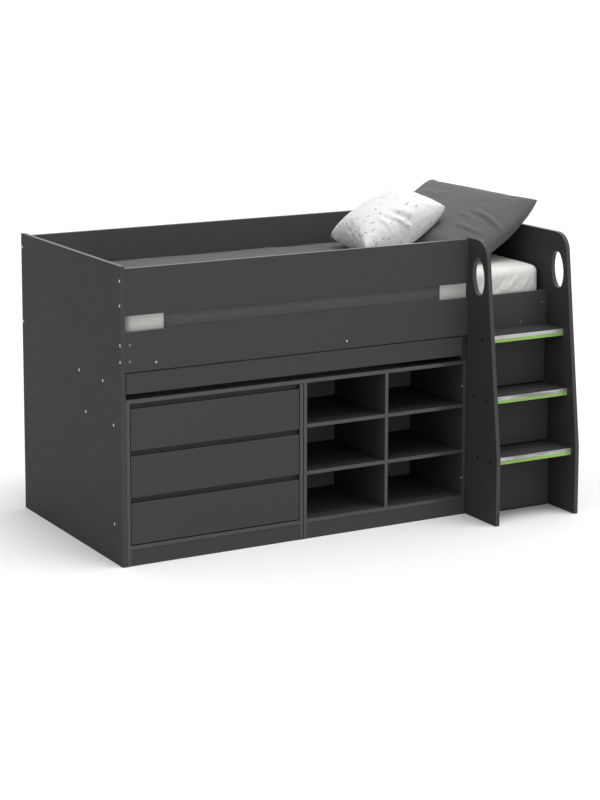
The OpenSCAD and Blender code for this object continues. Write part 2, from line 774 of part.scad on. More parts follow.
// Faces of a closed skin made of an upper and a lower grid of nu by nv points, the upper one first
function grid_faces(nu, nv) = let (low = nu * nv) concat(
    [for (i = [0:nu - 2], j = [0:nv - 2]) let (a = i * nv + j) each
        [[a, a + 1, a + nv + 1], [a, a + nv + 1, a + nv]]],
    [for (i = [0:nu - 2], j = [0:nv - 2]) let (a = low + i * nv + j) each
        [[a, a + nv + 1, a + 1], [a, a + nv, a + nv + 1]]],
    [for (i = [0:nu - 2]) let (a = i * nv, b = a + nv) each
        [[low + a, a, b], [low + a, b, low + b]]],
    [for (i = [0:nu - 2]) let (a = i * nv + nv - 1, b = a + nv) each
        [[low + a, b, a], [low + a, low + b, b]]],
    [for (j = [0:nv - 2]) let (a = j, b = j + 1) each
        [[low + b, b, a], [low + b, a, low + a]]],
    [for (j = [0:nv - 2]) let (a = (nu - 1) * nv + j, b = a + 1) each
        [[low + a, a, b], [low + a, b, low + b]]]
);

// Faces of a closed skin made of rings of n points, with a middle point at each end
function ring_faces(rings, n) = concat(
    [for (i = [0:rings - 2], k = [0:n - 1]) let (a = i * n + k, b = i * n + (k + 1) % n) each
        [[b, a, a + n], [b, a + n, b + n]]],
    [for (k = [0:n - 1]) [rings * n, k, (k + 1) % n]],
    [for (k = [0:n - 1]) let (a = (rings - 1) * n) [rings * n + 1, a + (k + 1) % n, a + k]]
);

// Mattress: a rounded block with a slight crown. Its upper outline runs in steps that the duvet shares.
mattress_z = bed_base_z + soft_gap;
mattress_top_z = mattress_z + mattress_t;
mattress_half = rear_in / 2 - board_t / 2 - mattress_gap;
mattress_mid = bed_d / 2;
corner_n = 5;
top_n = 10;
function crown_at(y) = let (k = y / (mattress_half - mattress_r)) mattress_crown * max(0, 1 - k * k);
function corner_points(y, z, r, start) =
    [for (i = [0:corner_n]) let (a = start + 90 * i / corner_n) [y + r * cos(a), z + r * sin(a)]];
function top_points(half, z, crown) =
    [for (i = [1:top_n - 1]) let (y = half * (1 - 2 * i / top_n)) [y, z + crown * crown_at(y)]];
function mattress_section(inset, crown) =
    let (r = max(mattress_r - inset, 3), half = mattress_half - inset - r,
         low = mattress_z + inset + r, high = mattress_top_z - inset - r) concat(
        corner_points(half, low, r, -90), corner_points(half, high, r, 0),
        top_points(half, mattress_top_z - inset, crown),
        corner_points(-half, high, r, 90), corner_points(-half, low, r, 180));
mid_rings = 8;
mattress_x = [board_t + mattress_gap, inner_r - mattress_gap];
mattress_rings = concat(
    [for (i = [0:corner_n]) let (a = 90 * i / corner_n)
        [mattress_x[0] + mattress_r * (1 - cos(a)), mattress_r * (1 - sin(a))]],
    [for (i = [1:mid_rings - 1]) let (k = i / mid_rings)
        [mattress_x[0] + mattress_r + k * (mattress_x[1] - mattress_x[0] - 2 * mattress_r), 0]],
    [for (i = [corner_n:-1:0]) let (a = 90 * i / corner_n)
        [mattress_x[1] - mattress_r * (1 - cos(a)), mattress_r * (1 - sin(a))]]
);

module mattress() in_place() color("white") {
    n = len(mattress_section(0, 1));
    mid_z = mattress_z + mattress_t / 2;
    points = [for (ring = mattress_rings, p = mattress_section(ring[1], 1 - ring[1] / mattress_r))
        [ring[0], mattress_mid + p[0], p[1]]];
    ends = [for (x = mattress_x) [x, mattress_mid, mid_z]];
    polyhedron(points = concat(points, ends), faces = ring_faces(len(mattress_rings), n));
}

// Duvet: follows the mattress's top and is tucked down its front and rear faces
function duvet_path() =
    let (half = mattress_half, r = mattress_r, z = mattress_top_z - r) concat(
        [for (k = [1, 0.5]) [-half, z - k * (front_drop - r), -1, 0]],
        [for (i = [corner_n:-1:0]) let (a = 90 + 90 * i / corner_n)
            [-half + r + r * cos(a), z + r * sin(a), cos(a), sin(a)]],
        [for (i = [top_n - 1:-1:1]) let (y = (half - r) * (1 - 2 * i / top_n))
            [y, mattress_top_z + crown_at(y), 0, 1]],
        [for (i = [corner_n:-1:0]) let (a = 90 * i / corner_n)
            [half - r + r * cos(a), z + r * sin(a), cos(a), sin(a)]],
        [[half, z - (rear_drop - r), 1, 0]]
    );
duvet_x = board_t + duvet_in;
duvet_n = 22;
function duvet_wave(x, y) = (sin(x * 0.61 + y * 0.23) + sin(x * 0.29 - y * 0.41 + 70)) / 2;
function duvet_thick(x, p) =
    let (flat = max(0, p[3]), wave = duvet_wave(x, p[0] + p[1]))
    flat * (duvet_t + duvet_fold * (1 + wave) / 2) + (1 - flat) * (tuck_t + tuck_fold * wave);

module duvet() in_place() color([0.36, 0.36, 0.37]) {
    path = duvet_path();
    layer = function (share) [for (i = [0:duvet_n - 1], p = path)
        let (x = duvet_x + duvet_l * i / (duvet_n - 1), off = soft_gap + share * duvet_thick(x, p))
        [x, mattress_mid + p[0] + off * p[2], p[1] + off * p[3]]];
    polyhedron(points = concat(layer(1), layer(0)), faces = grid_faces(duvet_n, len(path)));
}

// Pillows: crowned on both faces, with sides drawn in between the corners. u and v run from -1 to 1.
pillow_n = 20;
seam_t = 3;
pillow_steps = [for (i = [0:pillow_n]) 2 * i / pillow_n - 1];
function swell(u, v) = pow(max(0, (1 - u * u) * (1 - v * v)), 0.42);
function drawn(a, b) = a * (1 - pillow_pull * a * a * (1 - b * b));
function rest_z(x, y) = mattress_top_z + crown_at(y - mattress_mid)
    + (x < duvet_x + duvet_l + slat_w ? duvet_t + duvet_fold + 2 * soft_gap : 0) + soft_gap;

// The grey pillow bends along an arc about a line above the bed. It leans on the end panel, at its top
// edge or below it, so the arc's middle lies as far before that panel as the pillow's back reaches.
grey_arc = (grey_high_angle - grey_low_angle) * PI / 180;
grey_r = grey_l / grey_arc;
grey_mid_z = mattress_top_z + grey_lift + grey_r * cos(grey_low_angle);
grey_mid_y = board_t + grey_w / 2 + grey_y * (rear_in - board_t - grey_w);
function grey_back(u) = grey_back_low + (grey_back_high - grey_back_low) * (1 + u) / 2;
function grey_u(a) = 2 * (a - grey_low_angle) / (grey_high_angle - grey_low_angle) - 1;
function grey_offset(u, v, side) =
    let (a = grey_low_angle + (1 + drawn(u, v)) / 2 * (grey_high_angle - grey_low_angle),
         n = side > 0 ? grey_front * swell(u, v) + seam_t / 2 : -grey_back(u) * swell(u, v) - seam_t / 2)
    (grey_r - n) * [sin(a), -cos(a)];
function reach_below(p, q, top) =
    p[1] > top ? 0 : q[1] <= top ? max(p[0], q[0]) : p[0] + (q[0] - p[0]) * (top - p[1]) / (q[1] - p[1]);
grey_reach = max([for (v = pillow_steps, i = [1:pillow_n])
    let (p = grey_offset(pillow_steps[i - 1], v, -1), q = grey_offset(pillow_steps[i], v, -1))
    reach_below(p, q, bed_h - grey_mid_z)]);
grey_mid_x = inner_r - soft_gap - grey_reach;
function grey_point(u, v, side) =
    let (p = grey_offset(u, v, side), x = grey_mid_x + p[0], y = grey_mid_y + grey_w / 2 * drawn(v, u))
    [x, y, max(grey_mid_z + p[1], rest_z(x, y) + (side > 0 ? seam_t : 0))];

module grey_pillow() in_place() color([0.42, 0.42, 0.43])
    polyhedron(points = [for (side = [1, -1], u = pillow_steps, v = pillow_steps) grey_point(u, v, side)],
               faces = grid_faces(pillow_n + 1, pillow_n + 1));

// The white pillow lies on the duvet and on the grey pillow's front, and gives way to both
white_gap = 0.8;
white_mid = [inner_r - white_in, rear_in - white_y, mattress_top_z + white_lift];
function off_grey(p) =
    let (dx = p[0] - grey_mid_x, dz = grey_mid_z - p[2], dist = sqrt(dx * dx + dz * dz), a = atan2(dx, dz),
         u = min(1, max(-1, grey_u(a))), v = min(1, max(-1, (p[1] - grey_mid_y) / (grey_w / 2))),
         limit = grey_r - grey_front * swell(u, v) - seam_t / 2 - white_gap,
         k = a > grey_low_angle - 4 && dist > limit ? limit / dist : 1)
    [grey_mid_x + k * dx, p[1], grey_mid_z - k * dz];
function white_point(u, v, side) =
    let (n = side > 0 ? white_front * swell(u, v) + seam_t / 2 : -white_back * swell(u, v) - seam_t / 2,
         s = white_s / 2 * drawn(u, v), t = white_s / 2 * drawn(v, u),
         along = s * cos(white_tilt) - n * sin(white_tilt), up = s * sin(white_tilt) + n * cos(white_tilt),
         p = white_mid + [along * cos(white_turn) - t * sin(white_turn),
                          along * sin(white_turn) + t * cos(white_turn), up],
         q = off_grey(p))
    [q[0], q[1], max(q[2], rest_z(q[0], q[1]) + (side > 0 ? seam_t : 0))];

module white_pillow() in_place() color([0.95, 0.95, 0.95])
    polyhedron(points = [for (side = [1, -1], u = pillow_steps, v = pillow_steps) white_point(u, v, side)],
               faces = grid_faces(pillow_n + 1, pillow_n + 1));

left_end_panel();
right_end_panel();
ladder_side_panel();
front_rail();
rear_rail();
front_guard();
rear_guard();
slat_battens();
slats();
mattress();
duvet();
grey_pillow();
white_pillow();
desk_top();
desk_skirt();
desk_aprons();
desk_slides();
desk_tracks();
desk_support();
chest_left_side();
chest_right_side();
storage_top();
chest_base();
chest_back();
chest_plinth();
chest_grip_rails();
drawer_tracks();
drawer_1_front();
drawer_1_sides();
drawer_1_back();
drawer_1_bottom();
drawer_1_slides();
drawer_2_front();
drawer_2_sides();
drawer_2_back();
drawer_2_bottom();
drawer_2_slides();
drawer_3_front();
drawer_3_sides();
drawer_3_back();
drawer_3_bottom();
drawer_3_slides();
bookcase_left_side();
bookcase_right_side();
bookcase_base();
bookcase_divider();
bookcase_shelves();
bookcase_back();
bookcase_plinth();
upper_tread();
middle_tread();
lower_tread();
silver_edges();
green_edges();
upper_riser();
middle_riser();
lower_riser();
panel_bolts();
barrel_nuts();
wood_screws();
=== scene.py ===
"""Looks of the mid sleeper bed: board, cotton, steel and strip finishes, and the bedding.

Metres, +Z up. x runs along the bed to the ladder end, y from the front to the rear.
"""

import json
import math

import bmesh
import bpy
import numpy as np
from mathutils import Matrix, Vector, noise
from mathutils.bvhtree import BVHTree


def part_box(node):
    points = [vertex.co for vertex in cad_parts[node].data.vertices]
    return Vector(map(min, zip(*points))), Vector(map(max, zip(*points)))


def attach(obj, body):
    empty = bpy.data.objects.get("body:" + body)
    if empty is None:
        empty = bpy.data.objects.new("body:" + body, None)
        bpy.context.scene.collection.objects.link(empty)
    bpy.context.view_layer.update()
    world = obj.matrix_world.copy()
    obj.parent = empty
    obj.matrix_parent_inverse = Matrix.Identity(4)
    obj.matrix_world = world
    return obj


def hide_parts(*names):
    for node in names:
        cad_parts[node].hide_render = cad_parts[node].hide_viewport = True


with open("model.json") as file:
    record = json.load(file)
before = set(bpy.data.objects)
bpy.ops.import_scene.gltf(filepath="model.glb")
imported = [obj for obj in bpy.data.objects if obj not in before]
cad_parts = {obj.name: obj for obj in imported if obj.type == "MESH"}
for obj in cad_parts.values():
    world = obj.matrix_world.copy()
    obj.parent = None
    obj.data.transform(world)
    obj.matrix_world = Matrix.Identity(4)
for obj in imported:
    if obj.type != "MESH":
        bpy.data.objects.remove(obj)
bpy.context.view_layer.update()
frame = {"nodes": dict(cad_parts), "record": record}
nodes = frame["nodes"]
bed = "bed"


# ---- meshes ----


def add_mesh(name, points, faces, material, smooth=True):
    """A mesh object of this name, with outward faces."""
    mesh = bpy.data.meshes.new(name)
    mesh.from_pydata([tuple(p) for p in points], [], [tuple(f) for f in faces])
    work = bmesh.new()
    work.from_mesh(mesh)
    bmesh.ops.remove_doubles(work, verts=work.verts, dist=1e-6)
    bmesh.ops.recalc_face_normals(work, faces=work.faces)
    work.to_mesh(mesh)
    work.free()
    mesh.polygons.foreach_set("use_smooth", [smooth] * len(mesh.polygons))
    mesh.materials.append(material)
    piece = bpy.data.objects.new(name, mesh)
    bpy.context.scene.collection.objects.link(piece)
    return piece


def grid_faces(rows, columns, start=0, closed=False):
    """Faces between neighbouring rows of points; closed joins each row's ends."""
    faces = []
    for i in range(rows - 1):
        for j in range(columns if closed else columns - 1):
            a, b = start + i * columns + j, start + i * columns + (j + 1) % columns
            faces.append((a, b, b + columns, a + columns))
    return faces


def skin(outer, inner):
    """Points and faces of a closed skin between two grids of the same size."""
    rows, columns = outer.shape[:2]
    points = np.concatenate([outer.reshape(-1, 3), inner.reshape(-1, 3)])
    half = rows * columns
    faces = grid_faces(rows, columns) + grid_faces(rows, columns, half)
    rim = list(range(columns))
    rim += [i * columns + columns - 1 for i in range(1, rows)]
    rim += [(rows - 1) * columns + j for j in range(columns - 2, -1, -1)]
    rim += [i * columns for i in range(rows - 2, 0, -1)]
    for k, a in enumerate(rim):
        b = rim[(k + 1) % len(rim)]
        faces.append((a, b, b + half, a + half))
    return points, faces


def islands(node):
    """The corner points of each separate solid in a node."""
    mesh = nodes[node].data
    places = {}
    number = [places.setdefault(tuple(round(c, 6) for c in v.co), len(places)) for v in mesh.vertices]
    parent = list(range(len(places)))

    def root(a):
        while parent[a] != a:
            parent[a] = parent[parent[a]]
            a = parent[a]
        return a

    for polygon in mesh.polygons:
        first = root(number[polygon.vertices[0]])
        for v in polygon.vertices[1:]:
            parent[root(number[v])] = first
    groups = {}
    for point, index in places.items():
        groups.setdefault(root(index), []).append(point)
    return [np.array(groups[k]) for k in sorted(groups)]


# ---- shaders ----


class Tree:
    """A node tree that is filled line by line."""

    def __init__(self, tree):
        self.tree = tree

    def feed(self, node, inputs):
        """Links each input to a socket, or sets it to a value."""
        for name, value in inputs.items():
            if isinstance(value, bpy.types.NodeSocket):
                self.tree.links.new(value, node.inputs[name])
            else:
                node.inputs[name].default_value = value

    def add(self, kind, inputs=None, **settings):
        node = self.tree.nodes.new("ShaderNode" + kind)
        for name, value in settings.items():
            setattr(node, name, value)
        self.feed(node, inputs or {})
        return node

    def math(self, operation, a, b=0.0, clamp=False):
        return self.add("Math", {0: a, 1: b}, operation=operation, use_clamp=clamp).outputs[0]

    def vector(self, operation, inputs):
        return self.add("VectorMath", inputs, operation=operation).outputs

    def mix(self, share, a, b):
        return self.add("Mix", {0: share, 6: a, 7: b}, data_type="RGBA").outputs[2]

    def remap(self, value, low, high, to_low, to_high):
        return self.add("MapRange", {"Value": value, "From Min": low, "From Max": high,
                                     "To Min": to_low, "To Max": to_high}).outputs[0]

    def place(self, group, inputs):
        node = self.tree.nodes.new("ShaderNodeGroup")
        node.node_tree = group
        self.feed(node, inputs)
        return node.outputs


def new_group(name, inputs, outputs):
    """An empty node group; inputs and outputs are {name: "Float", "Color" or "Vector"}."""
    group = bpy.data.node_groups.new(name, "ShaderNodeTree")
    for sockets, side in ((inputs, "INPUT"), (outputs, "OUTPUT")):
        for socket, kind in sockets.items():
            group.interface.new_socket(name=socket, in_out=side, socket_type="NodeSocket" + kind)
    tree = Tree(group)
    source = group.nodes.new("NodeGroupInput").outputs
    sink = group.nodes.new("NodeGroupOutput")
    return group, tree, source, sink


def new_material(name, colour, roughness, **values):
    """A material with a Principled shader whose even values are set on its own sockets."""
    material = bpy.data.materials.new(name)
    material.use_nodes = True
    material.diffuse_color = (*colour, 1)
    tree = Tree(material.node_tree)
    shader = material.node_tree.nodes["Principled BSDF"]
    tree.feed(shader, {"Base Color": (*colour, 1), "Roughness": roughness})
    tree.feed(shader, {socket.replace("_", " "): value for socket, value in values.items()})
    return material, tree, shader


def raise_surface(tree, shader, height, distance, strength=1.0):
    """Feeds a height to the shader's normal; distance is the real depth of a full step."""
    bump = tree.add("Bump", {"Height": height, "Distance": distance, "Strength": strength})
    tree.feed(shader, {"Normal": bump.outputs["Normal"]})


def make_pebble_group():
    """The fine pebble of a melamine face, with faint handling marks and a slow drift of tone."""
    group, tree, source, sink = new_group(
        "Board pebble", {"Vector": "Vector", "Colour": "Color", "Drift": "Float"},
        {"Colour": "Color", "Roughness": "Float", "Height": "Float"})
    fine = tree.add("TexNoise", {"Vector": source["Vector"], "Scale": 900.0, "Detail": 2.0})
    slow = tree.add("TexNoise", {"Vector": source["Vector"], "Scale": 2.3, "Detail": 3.0})
    marks = tree.add("TexNoise", {"Vector": source["Vector"], "Scale": 35.0, "Detail": 6.0,
                                  "Roughness": 0.7, "Distortion": 1.2})
    tone = tree.math("ADD", tree.math("MULTIPLY", slow.outputs["Fac"], 0.7),
                     tree.math("MULTIPLY", fine.outputs["Fac"], 0.3))
    share = tree.math("MULTIPLY", tone, source["Drift"])
    tree.feed(sink, {"Colour": tree.mix(share, source["Colour"], (0.5, 0.5, 0.5, 1)),
                     "Roughness": tree.remap(marks.outputs["Fac"], 0.35, 0.75, 0.46, 0.6),
                     "Height": fine.outputs["Fac"]})
    return group


def make_edge_band_group():
    """1 on a board's narrow faces, which carry its edge band; Across is the thin direction."""
    group, tree, source, sink = new_group("Edge band", {"Across": "Vector"}, {"Mask": "Float"})
    facing = tree.add("NewGeometry").outputs["True Normal"]
    dot = tree.vector("DOT_PRODUCT", {0: facing, 1: source["Across"]})["Value"]
    tree.feed(sink, {"Mask": tree.remap(tree.math("ABSOLUTE", dot), 0.8, 0.95, 1.0, 0.0)})
    return group


def make_weave_group():
    """Plain cotton weave: crossing threads, slubs in the yarn and a soft uneven tone."""
    group, tree, source, sink = new_group(
        "Cotton weave", {"Vector": "Vector", "Threads": "Float", "Light": "Color", "Dark": "Color"},
        {"Colour": "Color", "Height": "Float"})
    part = tree.add("SeparateXYZ", {0: source["Vector"]}).outputs
    step = tree.math("MULTIPLY", source["Threads"], 2 * math.pi)
    warp = tree.math("SINE", tree.math("MULTIPLY", part["X"], step))
    weft = tree.math("SINE", tree.math("MULTIPLY", part["Y"], step))
    threads = tree.math("MULTIPLY", warp, weft)
    slub = tree.add("TexNoise", {"Vector": source["Vector"], "Scale": 260.0, "Detail": 3.0})
    soft = tree.add("TexNoise", {"Vector": source["Vector"], "Scale": 6.0, "Detail": 4.0})
    lift = tree.math("ADD", tree.math("MULTIPLY", threads, 0.35),
                     tree.math("MULTIPLY", slub.outputs["Fac"], 0.65))
    tone = tree.math("ADD", tree.math("MULTIPLY", lift, 0.5),
                     tree.math("MULTIPLY", soft.outputs["Fac"], 0.5), clamp=True)
    tree.feed(sink, {"Colour": tree.mix(tone, source["Dark"], source["Light"]), "Height": lift})
    return group


def make_crinkle_group():
    """The fine crinkle of washed cotton, as a height."""
    group, tree, source, sink = new_group(
        "Cotton crinkle", {"Vector": "Vector", "Size": "Float"}, {"Height": "Float"})
    bent = tree.add("TexNoise", {"Vector": source["Vector"], "Scale": 9.0, "Detail": 2.0})
    moved = tree.vector("MULTIPLY_ADD", {0: bent.outputs["Color"], 1: (0.06, 0.06, 0.06),
                                         2: source["Vector"]})[0]
    scale = tree.math("DIVIDE", 1.0, source["Size"])
    folds = tree.add("TexNoise", {"Vector": moved, "Scale": scale, "Detail": 3.0,
                                  "Roughness": 0.45})
    ridge = tree.math("ABSOLUTE", tree.math("SUBTRACT", folds.outputs["Fac"], 0.5))
    tree.feed(sink, {"Height": tree.math("SUBTRACT", 1.0, tree.math("MULTIPLY", ridge, 2.0))})
    return group


# Depth of each surface's relief
PEBBLE_DEPTH, FIBRE_DEPTH, DRAWN_DEPTH, THREAD_DEPTH = 0.00006, 0.0002, 0.0001, 0.0002

pebble = make_pebble_group()
edge_band = make_edge_band_group()
weave = make_weave_group()
crinkle = make_crinkle_group()


def board_material(name, across, face, band, drift=0.010):
    """Matt melamine board: pebbled faces, and a smoother edge band under a clear coat."""
    material, tree, shader = new_material(name, face, 0.5, Specular_IOR_Level=0.1, Coat_Roughness=0.16)
    where = tree.add("TexCoord").outputs["Object"]
    surface = tree.place(pebble, {"Vector": where, "Colour": (*face, 1), "Drift": drift})
    mask = tree.place(edge_band, {"Across": across})["Mask"]
    smoother = tree.math("MULTIPLY", mask, 0.2)
    tree.feed(shader, {"Base Color": tree.mix(mask, surface["Colour"], (*band, 1)),
                       "Roughness": tree.math("SUBTRACT", surface["Roughness"], smoother),
                       "Coat Weight": tree.math("MULTIPLY", mask, BAND_COAT)})
    raise_surface(tree, shader, surface["Height"], PEBBLE_DEPTH, 0.5)
    return material


def pine_material(name, along):
    """Planed pine with its grain along one direction."""
    material, tree, shader = new_material(name, (0.6, 0.43, 0.25), 0.55)
    where = tree.add("TexCoord").outputs["Object"]
    squeeze = tuple(3.0 if a else 60.0 for a in along)
    stretched = tree.vector("MULTIPLY", {0: where, 1: squeeze})[0]
    rings = tree.add("TexNoise", {"Vector": stretched, "Scale": 1.0, "Detail": 5.0,
                                  "Distortion": 0.6}).outputs["Fac"]
    fibre = tree.add("TexNoise", {"Vector": stretched, "Scale": 9.0, "Detail": 2.0}).outputs["Fac"]
    share = tree.remap(rings, 0.35, 0.7, 0.0, 1.0)
    colour = tree.mix(share, (0.66, 0.48, 0.29, 1), (0.47, 0.3, 0.15, 1))
    colour = tree.mix(tree.math("MULTIPLY", fibre, 0.3), colour, (0.75, 0.6, 0.4, 1))
    tree.feed(shader, {"Base Color": colour, "Roughness": tree.remap(fibre, 0.3, 0.7, 0.48, 0.66)})
    raise_surface(tree, shader, fibre, FIBRE_DEPTH, 0.5)
    return material


def cotton_material(name, light, dark, threads, crinkle_size, crinkle_depth, sheen=0.2):
    """Woven cotton: thread-deep weave over a fine crinkle, with a little sheen."""
    mean = tuple((a + b) / 2 for a, b in zip(light, dark))
    material, tree, shader = new_material(name, mean, 0.85, Specular_IOR_Level=0.25,
                                          Sheen_Weight=sheen, Sheen_Roughness=0.5)
    where = tree.add("TexCoord").outputs["Object"]
    cloth = tree.place(weave, {"Vector": where, "Threads": threads, "Light": (*light, 1),
                               "Dark": (*dark, 1)})
    folds = tree.place(crinkle, {"Vector": where, "Size": crinkle_size})["Height"]
    small = tree.add("Bump", {"Height": cloth["Height"], "Distance": THREAD_DEPTH, "Strength": 0.5})
    large = tree.add("Bump", {"Height": folds, "Distance": crinkle_depth, "Strength": 1.0,
                              "Normal": small.outputs["Normal"]})
    tree.feed(shader, {"Base Color": cloth["Colour"], "Normal": large.outputs["Normal"]})
    return material, tree, shader, cloth["Colour"]


def scatter_dashes(tree, shader, cloth_tone, spacing=0.032, half_width=0.0044, longest=0.010):
    """Small plain dashes and dots in light grey, scattered over the cotton at every angle."""
    where = tree.add("TexCoord").outputs["Object"]
    cell = tree.add("TexVoronoi", {"Vector": where, "Scale": 1 / spacing, "Randomness": 1.0})
    chance = cell.outputs["Color"]
    offset = tree.vector("SUBTRACT", {0: where, 1: cell.outputs["Position"]})[0]
    lean = tree.vector("NORMALIZE", {0: tree.vector("SUBTRACT", {0: chance, 1: (0.5, 0.5, 0.5)})[0]})[0]
    along = tree.vector("DOT_PRODUCT", {0: offset, 1: lean})["Value"]
    reach = tree.math("MULTIPLY", tree.add("SeparateXYZ", {0: chance}).outputs["X"], longest)
    held = tree.math("MAXIMUM", tree.math("MINIMUM", along, reach), tree.math("MULTIPLY", reach, -1.0))
    core = tree.vector("SCALE", {0: lean, "Scale": held})[0]
    away = tree.vector("DISTANCE", {0: offset, 1: core})["Value"]
    mark = tree.remap(away, half_width - 0.0008, half_width + 0.0012, 0.75, 0.0)
    tree.feed(shader, {"Base Color": tree.mix(mark, cloth_tone, (0.36, 0.355, 0.34, 1))})


def steel_material(name, colour, roughness):
    """Zinc-plated steel with a faint spangle."""
    material, tree, shader = new_material(name, colour, roughness, Metallic=1.0)
    where = tree.add("TexCoord").outputs["Object"]
    spangle = tree.add("TexVoronoi", {"Vector": where, "Scale": 220.0}).outputs["Color"]
    grey = tree.add("RGBToBW", {0: spangle}).outputs[0]
    darker = tuple(c * 0.8 for c in colour)
    tree.feed(shader, {"Base Color": tree.mix(grey, (*darker, 1), (*colour, 1)),
                       "Roughness": tree.remap(grey, 0.0, 1.0, roughness * 0.8, roughness * 1.25)})
    return material


def strip_material(name, colour, metallic, roughness, streak):
    """The extruded strips on the treads' noses, with fine lines and broad streaks along their length."""
    material, tree, shader = new_material(name, colour, roughness, Metallic=metallic)
    where = tree.add("TexCoord").outputs["Object"]
    lines = tree.vector("MULTIPLY", {0: where, 1: (4.0, 900.0, 900.0)})[0]
    drawn = tree.add("TexNoise", {"Vector": lines, "Scale": 1.0, "Detail": 3.0}).outputs["Fac"]
    along = tree.vector("MULTIPLY", {0: where, 1: (7.0, 60.0, 60.0)})[0]
    worn = tree.add("TexNoise", {"Vector": along, "Scale": 1.0, "Detail": 5.0}).outputs["Fac"]
    darker = tuple(c * streak for c in colour)
    streaked = tree.mix(tree.remap(worn, 0.38, 0.62, 0.0, 1.0), (*darker, 1), (*colour, 1))
    tree.feed(shader, {"Base Color": streaked,
                       "Roughness": tree.remap(drawn, 0.3, 0.7, roughness * 0.8, roughness * 1.3)})
    raise_surface(tree, shader, drawn, DRAWN_DEPTH, 0.4)
    return material


ANTHRACITE = (0.053, 0.053, 0.0535)
ANTHRACITE_BAND = (0.058, 0.058, 0.0585)
BAND_COAT = 0.9
# Darker edge band of the end and ladder side panels: painted shade on their front edges, a darker copy
# of the other boards' band
PANEL_BAND_PAINTED_SHADE = (0.032, 0.032, 0.0325)
# Painted light and shade: share of the anthracite's tone by where a board is. Upright, level, tread and
# shelf boards are darker copies and the rear boards a lighter copy of the one board, standing in for how
# much light falls on each
UPRIGHT_PAINTED_SHADE, LEVEL_PAINTED_SHADE, TREAD_PAINTED_SHADE, SHELF_PAINTED_SHADE, REAR_PAINTED_LIGHT = 0.76, 0.76, 0.9, 0.45, 1.28
AXES = {"x": (1, 0, 0), "y": (0, 1, 0), "z": (0, 0, 1)}
PAINTED_SHADE_BY_AXIS = {"x": UPRIGHT_PAINTED_SHADE, "y": 1.0, "z": LEVEL_PAINTED_SHADE}


def anthracite_finish(name, axis, tone, band=ANTHRACITE_BAND):
    """Anthracite board of that share of the full tone, thinnest along the axis; the share is painted
    shade or painted light for where the board stands.
    """
    return board_material(name, AXES[axis], tuple(c * tone for c in ANTHRACITE), band)


# Darker and lighter copies of the one anthracite board by place, as painted shade and painted light
anthracite = {a: anthracite_finish(f"anthracite_board_{a}", a, PAINTED_SHADE_BY_AXIS[a]) for a in AXES}
ladder_panel = anthracite_finish("anthracite_ladder_panel_painted_shade", "x", UPRIGHT_PAINTED_SHADE, PANEL_BAND_PAINTED_SHADE)
tread_board = anthracite_finish("anthracite_tread_painted_shade", "z", TREAD_PAINTED_SHADE)
shelf_board = anthracite_finish("anthracite_shelf_painted_shade", "z", SHELF_PAINTED_SHADE)
rear_board = anthracite_finish("anthracite_rear_board_painted_light", "y", REAR_PAINTED_LIGHT)
backing_board = board_material("anthracite_faced_backing", AXES["y"], (0.14, 0.14, 0.141),
                               (0.2, 0.2, 0.2))
grey_board = {a: board_material(f"grey_board_{a}", v, (0.2, 0.2, 0.205), (0.22, 0.22, 0.225))
              for a, v in AXES.items()}
# Black for the stepped-back edges of the risers and desk skirt: painted shadow in their gaps
GAP_SHADOW_BLACK = (0.004, 0.004, 0.004)
gap_shadow_paint = board_material("black_painted_gap_shadow", AXES["y"], GAP_SHADOW_BLACK, GAP_SHADOW_BLACK)
pine_long = pine_material("pine_along_the_bed", (1, 0, 0))
pine_cross = pine_material("pine_across_the_bed", (0, 1, 0))
steel = steel_material("galvanised_steel", (0.6, 0.61, 0.62), 0.35)
bolt_steel = steel_material("bright_bolt_steel", (0.7, 0.7, 0.7), 0.28)
# Dull zinc: the barrel nuts' own finish, and painted shade on the screws past the ladder's side panel
dull_zinc_and_painted_shade = steel_material("dull_zinc_and_painted_shade", (0.32, 0.32, 0.32), 0.5)
dark_cap = steel_material("black_oxide_bolt_steel", (0.018, 0.018, 0.018), 0.45)
silver = strip_material("silver_strip", (0.56, 0.56, 0.565), 0.35, 0.35, 0.45)
green = strip_material("green_strip", (0.29, 0.50, 0.12), 0.0, 0.4, 0.75)
sheet_cotton = cotton_material("sheet_cotton", (0.76, 0.755, 0.725), (0.69, 0.685, 0.655),
                               1400.0, 0.09, 0.004)[0]
duvet_cotton = cotton_material("duvet_cotton", (0.122, 0.122, 0.125), (0.085, 0.085, 0.088),
                               1300.0, 0.05, 0.004, 0.06)[0]
grey_cotton = cotton_material("grey_pillow_cotton", (0.137, 0.135, 0.137), (0.094, 0.092, 0.094),
                              1300.0, 0.06, 0.004, 0.12)[0]
white_cotton, white_tree, white_shader, white_tone = cotton_material(
    "white_pillow_cotton", (0.77, 0.77, 0.77), (0.71, 0.71, 0.71), 1400.0, 0.07, 0.003)
scatter_dashes(white_tree, white_shader, white_tone)


# ---- boards and fittings that keep the shape of the frame ----


def thin_axis(node):
    """The letter of the direction in which a node's boards are thinnest."""
    sizes = np.min([p.max(0) - p.min(0) for p in islands(node)], axis=0)
    return "xyz"[int(np.argmin(sizes))]


